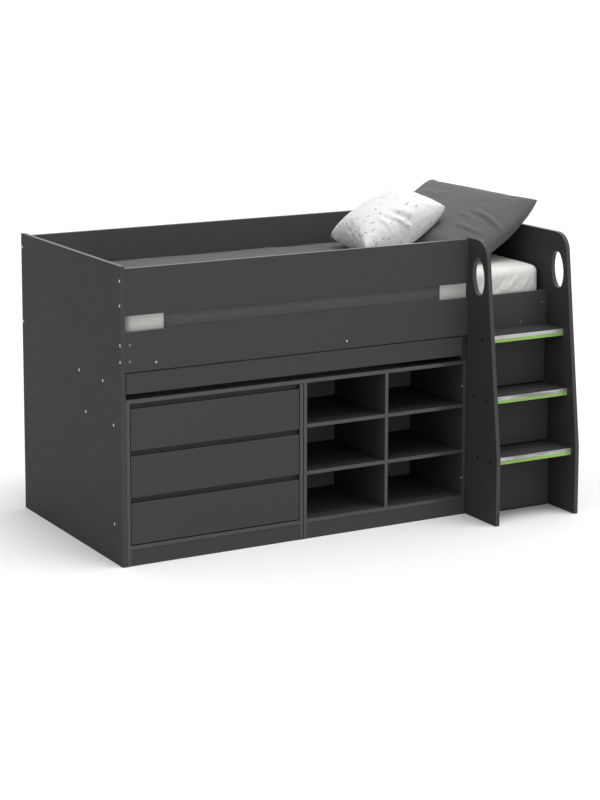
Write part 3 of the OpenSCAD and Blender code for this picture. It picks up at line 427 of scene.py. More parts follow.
def ease_edges(piece, width, gap_shadow_material=None):
    """Rounds every sharp edge by width; flat faces stay flat and curved ones shade smoothly. With a
    gap finish, the edges are stepped back instead and the step is painted black, a painted shadow in
    the gap round the board."""
    piece.data.polygons.foreach_set("use_smooth", [True] * len(piece.data.polygons))
    weld = piece.modifiers.new("weld", "WELD")
    weld.merge_threshold = 0.00002
    flat = piece.modifiers.new("flat faces", "DECIMATE")
    flat.decimate_type = "DISSOLVE"
    flat.angle_limit = math.radians(0.5)
    bevel = piece.modifiers.new("eased edges", "BEVEL")
    bevel.width = width
    bevel.segments = 2
    if gap_shadow_material:
        piece.data.materials.append(gap_shadow_material)
        bevel.profile = 0.0
        bevel.material = 1
    bevel.limit_method = "ANGLE"
    bevel.angle_limit = math.radians(40)
    bevel.use_clamp_overlap = False
    bevel.face_strength_mode = "FSTR_ALL"
    shade = piece.modifiers.new("even shading", "WEIGHTED_NORMAL")
    shade.keep_sharp = False
    shade.use_face_influence = True


BOARD_EASE = 0.0008
FRONT_EASE = 0.0018
# Widths of the black-painted steps round the risers and desk skirt, a painted shadow gap at their joints
RISER_GAP, SKIRT_GAP = 0.0055, 0.0018
SHADOW_GAP = {"upper_riser": RISER_GAP, "middle_riser": RISER_GAP, "lower_riser": RISER_GAP,
              "desk_skirt": SKIRT_GAP}
METAL_EASE = 0.0003
BY_SLOT = {"anthracite_board": anthracite, "grey_board": grey_board}
REPLACED = {"mattress", "duvet", "grey_pillow", "white_pillow", "panel_bolts", "barrel_nuts",
            "wood_screws", "silver_edges", "green_edges"}
OWN_FINISH = {"rear_guard": rear_board, "rear_rail": rear_board,
              "bookcase_back": backing_board, "bookcase_shelves": shelf_board,
              "ladder_side_panel": ladder_panel, "left_end_panel": ladder_panel,
              "right_end_panel": ladder_panel, "upper_tread": tread_board, "middle_tread": tread_board,
              "lower_tread": tread_board}

for part in frame["record"]["subparts"]:
    node, slot = part["node"], part["material_slot"]
    if node in REPLACED:
        continue
    if node in OWN_FINISH:
        finish = OWN_FINISH[node]
    elif slot in BY_SLOT:
        finish = BY_SLOT[slot][thin_axis(node)]
    elif slot == "pine":
        finish = pine_cross if node == "slats" else pine_long
    else:
        finish = steel
    nodes[node].data.materials.clear()
    nodes[node].data.materials.append(finish)
    # Risers and desk skirt: edges stepped back and painted black, a painted shadow gap
    if node in SHADOW_GAP:
        ease_edges(nodes[node], SHADOW_GAP[node], gap_shadow_paint)
    elif node.endswith("_front"):
        ease_edges(nodes[node], FRONT_EASE)
    else:
        ease_edges(nodes[node], METAL_EASE if finish is steel else BOARD_EASE)


# ---- bolts, barrel nuts and screws ----

TURNS = 48
RECESS_EASE = 0.0002


def hexagon(angle, across):
    """Distance from the middle of a hexagonal socket to its wall."""
    return across / 2 / math.cos((angle + math.pi / 6) % (math.pi / 3) - math.pi / 6)


def cross(angle, length, width):
    """Distance from the middle of a cross recess to its wall."""
    a = (angle + math.pi / 4) % (math.pi / 2) - math.pi / 4
    return min(length / 2 / math.cos(a), width / 2 / max(abs(math.sin(a)), width / length))


def slot_wall(angle, length, width):
    """Distance from the middle of a straight slot to its wall."""
    return min(length / 2, width / 2 / max(abs(math.sin(angle)), 1e-3))


def fastener(tip, head, profile, recess, depth):
    """Rings of a turned fastener from its tip to its head, with a recess in the head's face."""
    along = (head - tip).normalized()
    side = along.orthogonal().normalized()
    other = along.cross(side)
    length = (head - tip).length
    rings = [(d if d >= 0 else length + d, lambda a, r=r: r) for d, r in profile]
    rings += [(length, lambda a: recess(a) + RECESS_EASE), (length - RECESS_EASE, recess),
              (length - depth, recess)]
    points = []
    for d, radius in rings:
        for k in range(TURNS):
            a = 2 * math.pi * k / TURNS
            points.append(tip + along * d + (side * math.cos(a) + other * math.sin(a)) * radius(a))
    faces = grid_faces(len(rings), TURNS, 0, closed=True)
    faces.append(tuple(range(TURNS)))
    faces.append(tuple(len(points) - 1 - k for k in range(TURNS)))
    return points, faces


def turned_set(name, node, materials, shape_of, finish_of=lambda head: 0):
    """One piece with every fastener of a node, each rebuilt in its own place."""
    points, faces, finishes = [], [], []
    for corners in islands(node):
        low, high = corners.min(0), corners.max(0)
        axis = int(np.argmax(high - low))
        middle = Vector((low + high) / 2)
        ends = [middle.copy(), middle.copy()]
        ends[0][axis], ends[1][axis] = low[axis], high[axis]
        tip, head, profile, recess, depth = shape_of(corners, axis, ends)
        more, rings = fastener(tip, head, profile, recess, depth)
        faces += [tuple(v + len(points) for v in f) for f in rings]
        finishes += [finish_of(head)] * len(rings)
        points += more
    piece = add_mesh(name, points, faces, materials[0])
    for material in materials[1:]:
        piece.data.materials.append(material)
    piece.data.polygons.foreach_set("material_index", finishes)
    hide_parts(node)
    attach(piece, bed)


def wide_end(corners, axis, ends):
    """The two ends, the wider one last."""
    spread = []
    for end in ends:
        near = corners[np.abs(corners[:, axis] - end[axis]) < 1e-5]
        spread.append(np.delete(near - np.array(end), axis, 1).max() if len(near) else 0)
    return ends if spread[1] > spread[0] else ends[::-1]


def bolt_shape(corners, axis, ends):
    """A flat-headed bolt with a hexagonal socket."""
    tip, head = wide_end(corners, axis, ends)
    length, shank, rim, thick = (head - tip).length, 0.003, 0.0065, 0.003
    profile = [(0.0, 0.0022), (0.0008, shank), (-thick, shank), (-thick, rim), (-0.0006, rim),
               (length, 0.0059)]
    return tip, head, profile, lambda a: hexagon(a, across=0.004), 0.0024


def nut_shape(corners, axis, ends):
    """A slotted barrel nut, whose slot is in the end that opens on the board's face."""
    along = corners[:, axis]
    inside = along[(along > along.min() + 1e-4) & (along < along.max() - 1e-4)]
    hidden_low = not len(inside) or inside.mean() < (along.min() + along.max()) / 2
    tip, head = ends if hidden_low else ends[::-1]
    length, barrel = (head - tip).length, 0.005
    profile = [(0.0, 0.0046), (0.0004, barrel), (length - 0.0005, barrel), (length, 0.0045)]
    return tip, head, profile, lambda a: slot_wall(a, length=0.0074, width=0.0014), 0.0012


def screw_shape(corners, axis, ends):
    """A flat-headed wood screw with a cross recess."""
    tip, head = wide_end(corners, axis, ends)
    length, shank, rim = (head - tip).length, 0.002, 0.0045
    under = length - 0.0016
    profile = [(0.0, 0.0004), (0.004, shank), (under, shank), (under, rim), (length - 0.0004, rim),
               (length, 0.0041)]
    return tip, head, profile, lambda a: cross(a, length=0.0046, width=0.0012), 0.0011


LADDER_SIDE_X = 0.572
turned_set("panel_bolt_heads", "panel_bolts", [bolt_steel, dark_cap], bolt_shape,
           lambda head: int(abs(head.x - LADDER_SIDE_X) < 0.004))
turned_set("slotted_barrel_nuts", "barrel_nuts", [dull_zinc_and_painted_shade], nut_shape)
# Screws past the ladder's side panel get the dull zinc as painted shade; the same screws elsewhere are
# bright
turned_set("cross_head_screws", "wood_screws", [bolt_steel, dull_zinc_and_painted_shade], screw_shape,
           lambda head: int(head.x > LADDER_SIDE_X))


# ---- strips on the treads' noses ----


STRIP_EASE, STRIP_END = 0.0004, 0.0005


def ribbed_strips(name, node, material, ribs, rib_depth):
    """A strip along each tread's nose, with ribs along its front face."""
    points, faces = [], []
    for corners in islands(node):
        (x0, y0, z0), (x1, y1, z1) = corners.min(0), corners.max(0)
        outline = [(y1, z0), (y0 + STRIP_EASE, z0), (y0, z0 + STRIP_EASE)]
        for k in range(ribs * 4 + 1):
            z = z0 + STRIP_EASE + (z1 - z0 - 2 * STRIP_EASE) * k / (ribs * 4)
            outline.append((y0 + rib_depth * (0.5 - 0.5 * math.cos(2 * math.pi * k / 4)), z))
        outline += [(y0, z1 - STRIP_EASE), (y0 + STRIP_EASE, z1), (y1, z1)]
        start = len(points)
        for x in (x0, x0 + STRIP_END, x1 - STRIP_END, x1):
            points += [(x, y, z) for y, z in outline]
        n = len(outline)
        faces += grid_faces(4, n, start, closed=True)
        faces.append(tuple(range(start, start + n)))
        faces.append(tuple(range(start + 4 * n - 1, start + 3 * n - 1, -1)))
    piece = add_mesh(name, points, faces, material, smooth=False)
    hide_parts(node)
    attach(piece, bed)


ribbed_strips("silver_nose_strips", "silver_edges", silver, 5, 0.0005)
ribbed_strips("green_nose_strips", "green_edges", green, 1, 0.0)


# ---- bedding ----


SETTLE_FRAMES, MOST_MOVE = 20, 0.016


def rig_cloth(piece):
    """A Cloth modifier for a filled cover, without gravity or collision."""
    modifier = piece.modifiers.new("cloth", "CLOTH")
    settings = modifier.settings
    settings.quality = 8
    settings.mass = 0.2
    settings.air_damping = 4.0
    settings.tension_stiffness = settings.compression_stiffness = 15.0
    settings.shear_stiffness = 7.5
    settings.bending_stiffness = 0.08
    settings.use_pressure = True
    settings.uniform_pressure_force = 4.0
    settings.rest_shape_key = piece.data.shape_keys.key_blocks["cut"]
    settings.effector_weights.gravity = 0.0
    modifier.collision_settings.use_collision = False
    modifier.collision_settings.use_self_collision = False
    return modifier


def settle_cover(piece, cut, keep_clear):
    """Lets a filled cover find its wrinkles and keeps the result on the mesh. cut gives each point's
    place on the flat panel, no point moves further than MOST_MOVE, and keep_clear holds it off what
    the pillow lies on."""
    rest = np.array([v.co for v in piece.data.vertices])
    piece.shape_key_add(name="filled")
    flat = piece.shape_key_add(name="cut")
    flat.data.foreach_set("co", cut.ravel())
    flat.value = 0.0
    modifier = rig_cloth(piece)
    modifier.point_cache.frame_start, modifier.point_cache.frame_end = 1, SETTLE_FRAMES
    for step in range(1, SETTLE_FRAMES + 1):
        bpy.context.scene.frame_set(step)
    seen = piece.evaluated_get(bpy.context.evaluated_depsgraph_get())
    moved = np.array([v.co for v in seen.data.vertices]) - rest
    piece.modifiers.remove(modifier)
    piece.shape_key_clear()
    bpy.context.scene.frame_set(1)
    far = np.linalg.norm(moved, axis=1, keepdims=True)
    moved *= MOST_MOVE * np.tanh(far / MOST_MOVE) / np.maximum(far, 1e-9)
    placed = [keep_clear(p) for p in rest + moved]
    piece.data.vertices.foreach_set("co", np.array(placed).ravel())
    piece.data.update()


def soften(piece):
    """Subdivides the finished mesh once."""
    modifier = piece.modifiers.new("rounded", "SUBSURF")
    modifier.levels = modifier.render_levels = 1


def ripple(x, y, size, seed):
    """Smooth noise from -1 to 1 with features of that size."""
    return noise.noise((x / size, y / size, seed))


def lay_folds(piece, folds, keep_clear):
    """Raises soft folds on a cover, or presses them in where their height is below zero. Each runs
    along its points and fades out towards both ends."""
    points = np.array([v.co for v in piece.data.vertices])
    outward = np.array([v.normal for v in piece.data.vertices])
    lift = np.zeros(len(points))
    near = BVHTree.FromObject(piece, bpy.context.evaluated_depsgraph_get())
    for line, height, half_width in folds:
        line = np.array(line)
        share = np.concatenate([[0.0], np.cumsum(np.linalg.norm(np.diff(line, axis=0), axis=1))])
        share /= share[-1]
        steps = np.linspace(0, 1, 50)
        track = np.stack([np.interp(steps, share, line[:, k]) for k in range(3)], axis=1)
        track = np.array([near.find_nearest(Vector(p))[0] for p in track])
        away = np.linalg.norm(points[:, None, :] - track[None], axis=2)
        fade = np.sin(math.pi * np.clip(steps[away.argmin(axis=1)], 0.02, 0.98)) ** 0.8
        reach = away.min(axis=1) / half_width
        lift += height * fade * (np.exp(-reach ** 2) - 0.35 * np.exp(-((reach - 1.9) / 0.9) ** 2))
    moved = points + outward * lift[:, None]
    moved = [keep_clear(p) if shift else p for p, shift in zip(moved, np.abs(lift) > 1e-5)]
    piece.data.vertices.foreach_set("co", np.array(moved).ravel())
    piece.data.update()


# Mattress: a rounded block under a stretched sheet
mattress_low, mattress_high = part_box("mattress")
duvet_low, duvet_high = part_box("duvet")
EDGE_R = 0.034
CROWN = 0.005
ARC_STEPS = 7
mattress_top = mattress_high.z - CROWN
middle_y = (mattress_low.y + mattress_high.y) / 2
mattress_half = (mattress_high.y - mattress_low.y) / 2

# How far the sheet's slack reaches from the left end, the ladder's end and the long edges, the depth
# of its creases and its slow unevenness, and how far it lies inside the mattress's full size
LEFT_SLACK, LADDER_SLACK, EDGE_SLACK = 0.15, 0.36, 0.09
CREASE_DEPTH, UNEVEN_DEPTH, SHEET_INSET = 0.0045, 0.0009, 0.0012

# Creases of the fitted sheet over the bay: points along each, height and half width
FRONT_Y = mattress_low.y
SHEET_FOLDS = [
    (((0.640, FRONT_Y, 0.900), (0.700, FRONT_Y, 0.950), (0.742, FRONT_Y, 0.990)), 0.0038, 0.010),
    (((0.700, FRONT_Y, 0.898), (0.752, FRONT_Y, 0.936), (0.800, FRONT_Y, 0.985)), -0.0034, 0.009),
    (((0.770, FRONT_Y, 0.905), (0.812, FRONT_Y, 0.940), (0.850, FRONT_Y, 0.978)), 0.0036, 0.010),
    (((0.852, FRONT_Y, 0.900), (0.880, FRONT_Y, 0.940), (0.905, FRONT_Y, 0.975)), 0.0026, 0.008),
    (((0.620, -0.318, 1.006), (0.760, -0.325, 1.004), (0.900, -0.318, 1.006)), 0.0016, 0.007),
]


def crown_at(y):
    """How far the mattress's top rises above its edge's level there."""
    k = (y - middle_y) / (mattress_half - EDGE_R)
    return CROWN * np.maximum(0, 1 - k * k)


def quarter_turn(start):
    """Directions round a quarter circle that starts at that many degrees."""
    angles = [math.radians(start + 90 * i / ARC_STEPS) for i in range(ARC_STEPS + 1)]
    return [(math.cos(a), math.sin(a)) for a in angles]


def mattress_outline(inset, crown, across=70, down=14):
    """Points of the mattress's cross-section, counted from its lower rear edge over the top."""
    r = max(EDGE_R - inset, 0.003)
    half = mattress_half - inset - r
    low, high = mattress_low.z + inset + r, mattress_top - inset - r

    def turn(y, z, start):
        return [(y + r * c, z + r * s) for c, s in quarter_turn(start)]

    outline = turn(half, low, -90)
    outline += [(half + r, low + (high - low) * i / down) for i in range(1, down)]
    outline += turn(half, high, 0)
    for i in range(1, across):
        y = half * (1 - 2 * i / across)
        outline.append((y, high + r + crown * float(crown_at(y + middle_y))))
    outline += turn(-half, high, 90)
    outline += [(-half - r, high - (high - low) * i / down) for i in range(1, down)]
    outline += turn(-half, low, 180)
    outline += [(-half + 2 * half * i / across, low - r) for i in range(1, across)]
    return outline


def make_mattress():
    """The mattress in its fitted sheet, drawn tight with slack creases towards its corners."""
    low, high = mattress_low.x, mattress_high.x
    rounded = [(EDGE_R * (1 - c), EDGE_R * (1 - s)) for c, s in quarter_turn(0)]
    bare = duvet_high.x - 0.04
    stations = [(low + d, inset) for d, inset in rounded]
    stations += [(x, 0.0) for x in np.linspace(low + EDGE_R, bare, 80)[1:]]
    stations += [(x, 0.0) for x in np.linspace(bare, high - EDGE_R, 80)[1:-1]]
    stations += [(high - d, inset) for d, inset in reversed(rounded)]
    points = []
    mid_z = (mattress_low.z + mattress_top) / 2
    for x, inset in stations:
        for y, z in mattress_outline(inset, 1 - inset / EDGE_R):
            end = max(0.0, 1 - (x - low) / LEFT_SLACK, 1 - (high - x) / LADDER_SLACK)
            side = max(0.0, 1 - (mattress_half - abs(y)) / EDGE_SLACK)
            slack = 0.12 + 0.88 * end * side
            crease = ripple(x - 0.7 * (z - mid_z), 0.3 * (z - mid_z) + y * 0.2, 0.045, 4.0)
            pull = CREASE_DEPTH * slack * crease + UNEVEN_DEPTH * ripple(x, y + z, 0.12, 9.0)
            if abs(z - mattress_low.z) < 0.01:
                pull = -abs(pull)
            outward = (Vector((0.0, y, z)) - Vector((0.0, 0.0, mid_z))).normalized()
            p = Vector((x, middle_y + y, z)) + outward * (pull - SHEET_INSET)
            points.append((p.x, p.y, max(p.z, mattress_low.z)))
    n = len(points) // len(stations)
    faces = grid_faces(len(stations), n, closed=True)
    for first in (0, len(points) - n):
        more, caps = end_cap(points, first, n)
        points += more
        faces += caps
    piece = add_mesh("mattress_in_fitted_sheet", points, faces, sheet_cotton)
    lay_folds(piece, SHEET_FOLDS, tuple)
    soften(piece)
    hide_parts("mattress")
    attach(piece, bed)


def end_cap(points, first, n, rings=4):
    """Points and faces that close the opening of n points from first on towards its middle."""
    rim = [Vector(p) for p in points[first:first + n]]
    middle = sum(rim, Vector()) / n
    inner = []
    for k in range(1, rings):
        inner += [tuple(p.lerp(middle, k / rings)) for p in rim]
    inner.append(tuple(middle))
    start = len(points)
    last, tip = start + (rings - 2) * n, start + (rings - 1) * n
    after = [(j + 1) % n for j in range(n)]
    faces = [(first + j, first + k, start + k, start + j) for j, k in enumerate(after)]
    faces += grid_faces(rings - 1, n, start, closed=True)
    faces += [(last + j, last + k, tip) for j, k in enumerate(after)]
    return inner, faces


# Duvet: it lies over the mattress and is tucked down at the front and rear
SEAT = 0.0004
TOP_LOFT = 0.0115
TUCK_LOFT = 0.0066
FRONT_DROP = 0.150
REAR_DROP = 0.060
REAR_REACH = 0.05
CLOTH_STEP = 0.009
HEM_ROUND, SEAM_IN, SEAM_WIDTH, SEAM_DEPTH = 0.018, 0.02, 0.005, 0.002


def duvet_path():
    """Points along the duvet's underside from the front hem over the top to the rear hem, each with
    its outward direction."""
    half, r, top = mattress_half, EDGE_R, mattress_top
    front, rear = FRONT_DROP - r, REAR_DROP - r
    front_steps, rear_steps = (max(2, round(drop / CLOTH_STEP)) for drop in (front, rear))
    top_steps = round(2 * (half - r) / CLOTH_STEP)

    def turn(y, start):
        return [(y + r * c, top - r + r * s, c, s) for c, s in reversed(quarter_turn(start))]

    path = [(-half, top - r - front * i / front_steps, -1.0, 0.0) for i in range(front_steps, 0, -1)]
    path += turn(-half + r, 90)
    for i in range(1, top_steps):
        y = -(half - r) + 2 * (half - r) * i / top_steps
        path.append((y, top + float(crown_at(y + middle_y)), 0.0, 1.0))
    path += turn(half - r, 0)
    path += [(half, top - r - rear * i / rear_steps, 1.0, 0.0) for i in range(1, rear_steps + 1)]
    return path


def duvet_folds(x, s):
    """Low folds of the made bed across the top."""
    bend = 0.05 * ripple(x, s, 0.45, 2.0)
    broad = ripple(x + bend, s * 0.45, 0.17, 5.0)
    lean = ripple(x * 0.8 + s * 0.5 + bend, s * 0.35 - x * 0.2, 0.075, 8.0)
    crease = 1 - min(1.0, abs(ripple(x + 0.6 * bend, s * 0.5, 0.22, 12.0)) * 7)
    return 0.0016 * broad + 0.0013 * lean + 0.0020 * crease * crease


def tuck_folds(x, z):
    """Upright folds where the duvet is tucked down behind the guard."""
    sway = 0.012 * ripple(x, z, 0.09, 21.0)
    broad = ripple(x + sway, 0.25 * z, 0.045, 15.0)
    fine = ripple(x + sway, 0.5 * z, 0.016, 18.0)
    return 0.0020 * broad + 0.0009 * fine


def make_duvet():
    """The duvet as a filled cover with rounded hems."""
    path = duvet_path()
    low = duvet_low.x
    columns = 140
    outer, inner = [], []
    for i in range(columns + 1):
        share = i / columns
        top_row, under_row = [], []
        s = 0.0
        for j, (y, z, ny, nz) in enumerate(path):
            if j:
                s += math.dist(path[j][:2], path[j - 1][:2])
            flat = max(0.0, nz)
            rear = min(1.0, max(0.0, y / mattress_half))
            high = duvet_high.x + REAR_REACH * rear * rear * (3 - 2 * rear)
            x = low + (high - low) * share
            hem_x = min(x - low, high - x)
            hem_s = min(j, len(path) - 1 - j) * CLOTH_STEP
            hem = min(hem_x, hem_s)
            close = math.sqrt(max(0.0, 1 - max(0.0, 1 - hem / HEM_ROUND) ** 2)) * 0.85 + 0.15
            loft = flat * TOP_LOFT + (1 - flat) * TUCK_LOFT
            fold = duvet_folds(x, s) * flat + tuck_folds(x, z) * (1 - flat)
            seam = SEAM_DEPTH * math.exp(-((hem - SEAM_IN) / SEAM_WIDTH) ** 2)
            thick = max(0.002, (loft + fold - seam * flat) * close)
            top_row.append((x, middle_y + y + (SEAT + thick) * ny, z + (SEAT + thick) * nz))
            under_row.append((x, middle_y + y + SEAT * ny, z + SEAT * nz))
        outer.append(top_row)
        inner.append(under_row)
    points, faces = skin(np.array(outer), np.array(inner))
    piece = add_mesh("duvet_cover", points, faces, duvet_cotton)
    soften(piece)
    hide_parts("duvet")
    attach(piece, bed)


# Pillows: two crowned faces that meet at a seam, with sides drawn in between the corners
PULL = 0.02
SEAM = 0.003
DUVET_RISE, DUVET_END, REST_GAP = 0.0176, 0.07, 0.0003


def swell(u, v):
    """Share of the full thickness there; u and v run from -1 to 1 between the seams."""
    return max(0.0, (1 - u * u) * (1 - v * v)) ** 0.42


def drawn_in(a, b):
    """The place a across the pillow, drawn inward where b is far from the corners."""
    return a * (1 - PULL * a * a * (1 - b * b))


def off_seam(u, v, side, front, back):
    """How far the cover is from the seams' plane, behind it where side is not above zero."""
    return front * swell(u, v) + SEAM / 2 if side > 0 else -back * swell(u, v) - SEAM / 2


def rest_height(x, y):
    """Height of what a pillow lies on there: the mattress's sheet or the duvet."""
    on_duvet = DUVET_RISE if x < duvet_high.x + DUVET_END else 0.0
    return mattress_top + float(crown_at(y)) + on_duvet + REST_GAP


# The grey pillow bends along an arc about a line above the bed, as it leans on the end panel
ARC_MIDDLE = Vector((0.34075, 0.13964, 1.87509))
ARC_LOW, ARC_HIGH = math.radians(16), math.radians(47)
GREY_WIDTH, GREY_LENGTH = 0.82, 0.48
GREY_FRONT, GREY_BACK_LOW, GREY_BACK_HIGH = 0.087, 0.080, 0.074
ARC_RADIUS = GREY_LENGTH / (ARC_HIGH - ARC_LOW)


def grey_at(u, v, side):
    """A point of the grey pillow; u runs up its lean, v across it."""
    a = ARC_LOW + (1 + drawn_in(u, v)) / 2 * (ARC_HIGH - ARC_LOW)
    back = GREY_BACK_LOW + (GREY_BACK_HIGH - GREY_BACK_LOW) * (1 + u) / 2
    n = off_seam(u, v, side, GREY_FRONT, back)
    x = ARC_MIDDLE.x + (ARC_RADIUS - n) * math.sin(a)
    y = ARC_MIDDLE.y + GREY_WIDTH / 2 * drawn_in(v, u)
    z = ARC_MIDDLE.z - (ARC_RADIUS - n) * math.cos(a)
    return (x, y, max(z, rest_height(x, y) + (SEAM if side > 0 else 0)))


# The white pillow lies on the duvet and on the grey pillow's front, and gives way to both
WHITE_MIDDLE = Vector((0.53, 0.19, 1.1473))
WHITE_SIDE = 0.40
WHITE_FRONT, WHITE_BACK = 0.092, 0.110
WHITE_TILT, WHITE_TURN = math.radians(24), math.radians(-8)
WHITE_GAP = 0.0008


def off_grey(x, y, z):
    """The nearest place in front of the grey pillow, for a point that would be inside it."""
    dx, dz = x - ARC_MIDDLE.x, ARC_MIDDLE.z - z
    far, a = math.hypot(dx, dz), math.atan2(dx, dz)
    u = min(1.0, max(-1.0, 2 * (a - ARC_LOW) / (ARC_HIGH - ARC_LOW) - 1))
    v = min(1.0, max(-1.0, (y - ARC_MIDDLE.y) / (GREY_WIDTH / 2)))
    limit = ARC_RADIUS - GREY_FRONT * swell(u, v) - SEAM / 2 - WHITE_GAP
    k = limit / far if a > ARC_LOW - math.radians(4) and far > limit else 1.0
    return ARC_MIDDLE.x + k * dx, y, ARC_MIDDLE.z - k * dz


def white_at(u, v, side):
    """A point of the white pillow; u runs up its tilt, v across it."""
    n = off_seam(u, v, side, WHITE_FRONT, WHITE_BACK)
    s, t = WHITE_SIDE / 2 * drawn_in(u, v), WHITE_SIDE / 2 * drawn_in(v, u)
    along = s * math.cos(WHITE_TILT) - n * math.sin(WHITE_TILT)
    up = s * math.sin(WHITE_TILT) + n * math.cos(WHITE_TILT)
    x, y, z = off_grey(WHITE_MIDDLE.x + along * math.cos(WHITE_TURN) - t * math.sin(WHITE_TURN),
                       WHITE_MIDDLE.y + along * math.sin(WHITE_TURN) + t * math.cos(WHITE_TURN),
                       WHITE_MIDDLE.z + up)
    return (x, y, max(z, rest_height(x, y) + (SEAM if side > 0 else 0)))


def spread(count):
    """Steps from -1 to 1 that lie closer together near both ends."""
    even = np.linspace(-1, 1, count + 1)
    return np.sin(even * math.pi / 2) * 0.35 + even * 0.65


def pillow_covers(at, rows, columns):
    """Front and back panels of a pillow, point by point."""
    return [np.array([[at(u, v, side) for v in spread(columns)] for u in spread(rows)])
            for side in (1, -1)]


def cut_panels(width, length, rows, columns, ease):
    """The flat panels that the cover is sewn from, a little larger than the filled pillow."""
    u, v = np.meshgrid(spread(rows), spread(columns), indexing="ij")
    flat = [np.stack([u * length / 2 * ease, v * width / 2 * ease, np.full(u.shape, z)], -1)
            for z in (0.002, -0.002)]
    return np.concatenate([f.reshape(-1, 3) for f in flat])


def make_pillow(name, node, at, size, steps, material, keep_clear, ease, folds):
    """A pillow whose flat-cut cover is blown up over its filling, which wrinkles it along the seams."""
    front, back = pillow_covers(at, *steps)
    points, faces = skin(front, back)
    piece = add_mesh(name, points, faces, material)
    settle_cover(piece, cut_panels(*size, *steps, ease), keep_clear)
    lay_folds(piece, folds, keep_clear)
    soften(piece)
    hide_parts(node)
    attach(piece, bed)
    return piece


PANEL_TOP, INNER_RIGHT = 1.157, 0.9617


def clear_of_bed(p):
    """Keeps a point of the grey pillow above the mattress and inside the end panel."""
    x, y, z = p
    if z < PANEL_TOP:
        x = min(x, INNER_RIGHT)
    return x, y, max(z, rest_height(x, y))


def clear_of_cover(cover, gap=0.0015):
    """A function that keeps a point above the bedding and just off another pillow's cover."""
    near = BVHTree.FromObject(cover, bpy.context.evaluated_depsgraph_get())

    def keep(p):
        place, facing, _, _ = near.find_nearest(Vector(p))
        depth = (Vector(p) - place).dot(facing)
        x, y, z = Vector(p) + facing * (gap - depth) if -0.06 < depth < gap else p
        return x, y, max(z, rest_height(x, y))

    return keep


# Folds of the covers: points along each, height and half width
GREY_FOLDS = [
    (((0.792, -0.079, 1.201), (0.795, -0.136, 1.194), (0.801, -0.203, 1.178), (0.822, -0.260, 1.147)),
     0.010, 0.010),
    (((0.708, -0.074, 1.150), (0.714, -0.127, 1.145), (0.718, -0.175, 1.137), (0.749, -0.230, 1.134)),
     0.008, 0.009),
    (((0.759, -0.040, 1.186), (0.761, -0.079, 1.182), (0.757, -0.129, 1.172)), 0.005, 0.008),
    (((0.844, 0.394, 1.227), (0.823, 0.229, 1.231), (0.840, 0.159, 1.242)), 0.004, 0.018),
]
WHITE_FOLDS = [
    (((0.454, 0.057, 1.197), (0.474, 0.024, 1.190), (0.495, 0.002, 1.174), (0.536, -0.008, 1.144)),
     0.010, 0.009),
    (((0.418, 0.072, 1.181), (0.428, 0.039, 1.172), (0.437, 0.015, 1.156)), 0.005, 0.008),
    (((0.479, 0.080, 1.218), (0.510, 0.034, 1.215), (0.550, -0.005, 1.201)), 0.005, 0.013),
    (((0.362, 0.245, 1.131), (0.349, 0.209, 1.116), (0.342, 0.183, 1.099), (0.335, 0.130, 1.080)),
     -0.005, 0.009),
    (((0.346, 0.140, 1.125), (0.337, 0.113, 1.112), (0.330, 0.087, 1.095)), -0.003, 0.006),
]

make_mattress()
make_duvet()
grey_pillow = make_pillow("grey_pillow_cover", "grey_pillow", grey_at, (GREY_WIDTH, GREY_LENGTH),
                          (60, 96), grey_cotton, clear_of_bed, 1.06, GREY_FOLDS)
make_pillow("white_pillow_cover", "white_pillow", white_at, (WHITE_SIDE, WHITE_SIDE), (60, 60),
            white_cotton, clear_of_cover(grey_pillow), 1.10, WHITE_FOLDS)


# ---- floor, light and camera ----


SKY_FRONT, SKY_BACK = 0.78, 0.42
SKY_TOP, SKY_LADDER_SIDE = 0.55, 0.10
FLOOR_BOUNCE = 0.55
FLOOR_STEPS = 13
SUN_TRAVEL, SUN_ANGLE, SUN_STRENGTH = (-0.12, 0.22, -1.0), 30, 1.4
CAMERA_LENS, CAMERA_SENSOR, CAMERA_SHIFT = 96.96, 36.0, (0.04, -0.2)
CAMERA_PLACE = (-4.28157, -7.53014, 2.45252)
CAMERA_YAW, CAMERA_PITCH = 0.50158, -0.15114


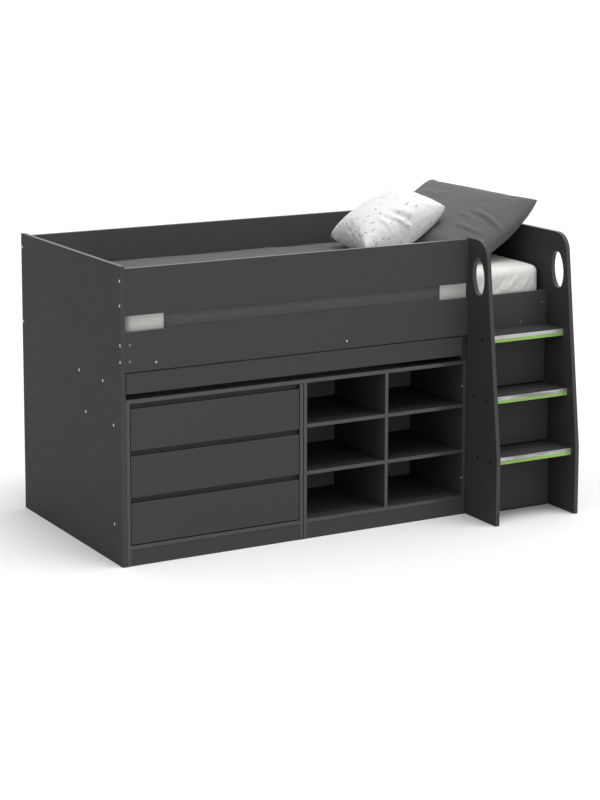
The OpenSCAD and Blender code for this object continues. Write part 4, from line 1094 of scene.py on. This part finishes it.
def make_floor():
    """A plain pale floor, which throws less light back on the bed than it shows."""
    material, tree, shader = new_material("pale_floor", (0.82, 0.82, 0.82), 0.9)
    where = tree.add("TexCoord").outputs["Object"]
    tone = tree.add("TexNoise", {"Vector": where, "Scale": 0.7, "Detail": 2.0}).outputs["Fac"]
    pale = tree.mix(tone, (0.81, 0.81, 0.81, 1), (0.82, 0.82, 0.82, 1))
    seen = tree.add("LightPath").outputs["Is Camera Ray"]
    bounce = (FLOOR_BOUNCE, FLOOR_BOUNCE, FLOOR_BOUNCE, 1)
    tree.feed(shader, {"Base Color": tree.mix(seen, bounce, pale)})
    across, back = np.linspace(-90, 90, FLOOR_STEPS), np.linspace(-60, 180, FLOOR_STEPS)
    points = [(x, y, 0.0) for y in back for x in across]
    floor = add_mesh("studio_floor", points, grid_faces(FLOOR_STEPS, FLOOR_STEPS), material)
    if floor.data.polygons[0].normal.z < 0:
        floor.data.flip_normals()


def add_sun(name, travel, angle, strength):
    """A wide, soft distant lamp whose light travels that way."""
    data = bpy.data.lights.new(name, "SUN")
    data.angle = math.radians(angle)
    data.energy = strength
    lamp = bpy.data.objects.new(name, data)
    lamp.rotation_euler = Vector(travel).to_track_quat("-Z", "Y").to_euler()
    bpy.context.scene.collection.objects.link(lamp)


def make_sky():
    """Even white light, brighter in front of the bed, overhead and at the ladder's side."""
    world = bpy.data.worlds.new("studio_sky")
    bpy.context.scene.world = world
    world.use_nodes = True
    tree = Tree(world.node_tree)
    direction = tree.add("SeparateXYZ", {0: tree.add("TexCoord").outputs["Generated"]}).outputs
    strength = tree.remap(direction["Y"], -0.5, 0.7, SKY_FRONT, SKY_BACK)
    for axis, more in (("Z", SKY_TOP), ("X", SKY_LADDER_SIDE)):
        strength = tree.math("ADD", strength, tree.math("MULTIPLY", direction[axis], more))
    tree.feed(world.node_tree.nodes["Background"], {"Color": (1, 1, 1, 1), "Strength": strength})


def make_camera():
    """The photograph's view, with a small shift that keeps the uprights nearly parallel."""
    data = bpy.data.cameras.new("camera")
    data.lens = CAMERA_LENS
    data.sensor_width = CAMERA_SENSOR
    data.shift_x, data.shift_y = CAMERA_SHIFT
    data.clip_end = 100.0
    camera = bpy.data.objects.new("camera", data)
    camera.location = CAMERA_PLACE
    camera.rotation_euler = (math.pi / 2 + CAMERA_PITCH, 0.0, -CAMERA_YAW)
    bpy.context.scene.collection.objects.link(camera)
    bpy.context.scene.camera = camera


make_floor()
make_sky()
add_sun("overhead", SUN_TRAVEL, SUN_ANGLE, SUN_STRENGTH)
make_camera()
bpy.context.scene.view_settings.view_transform = "Standard"
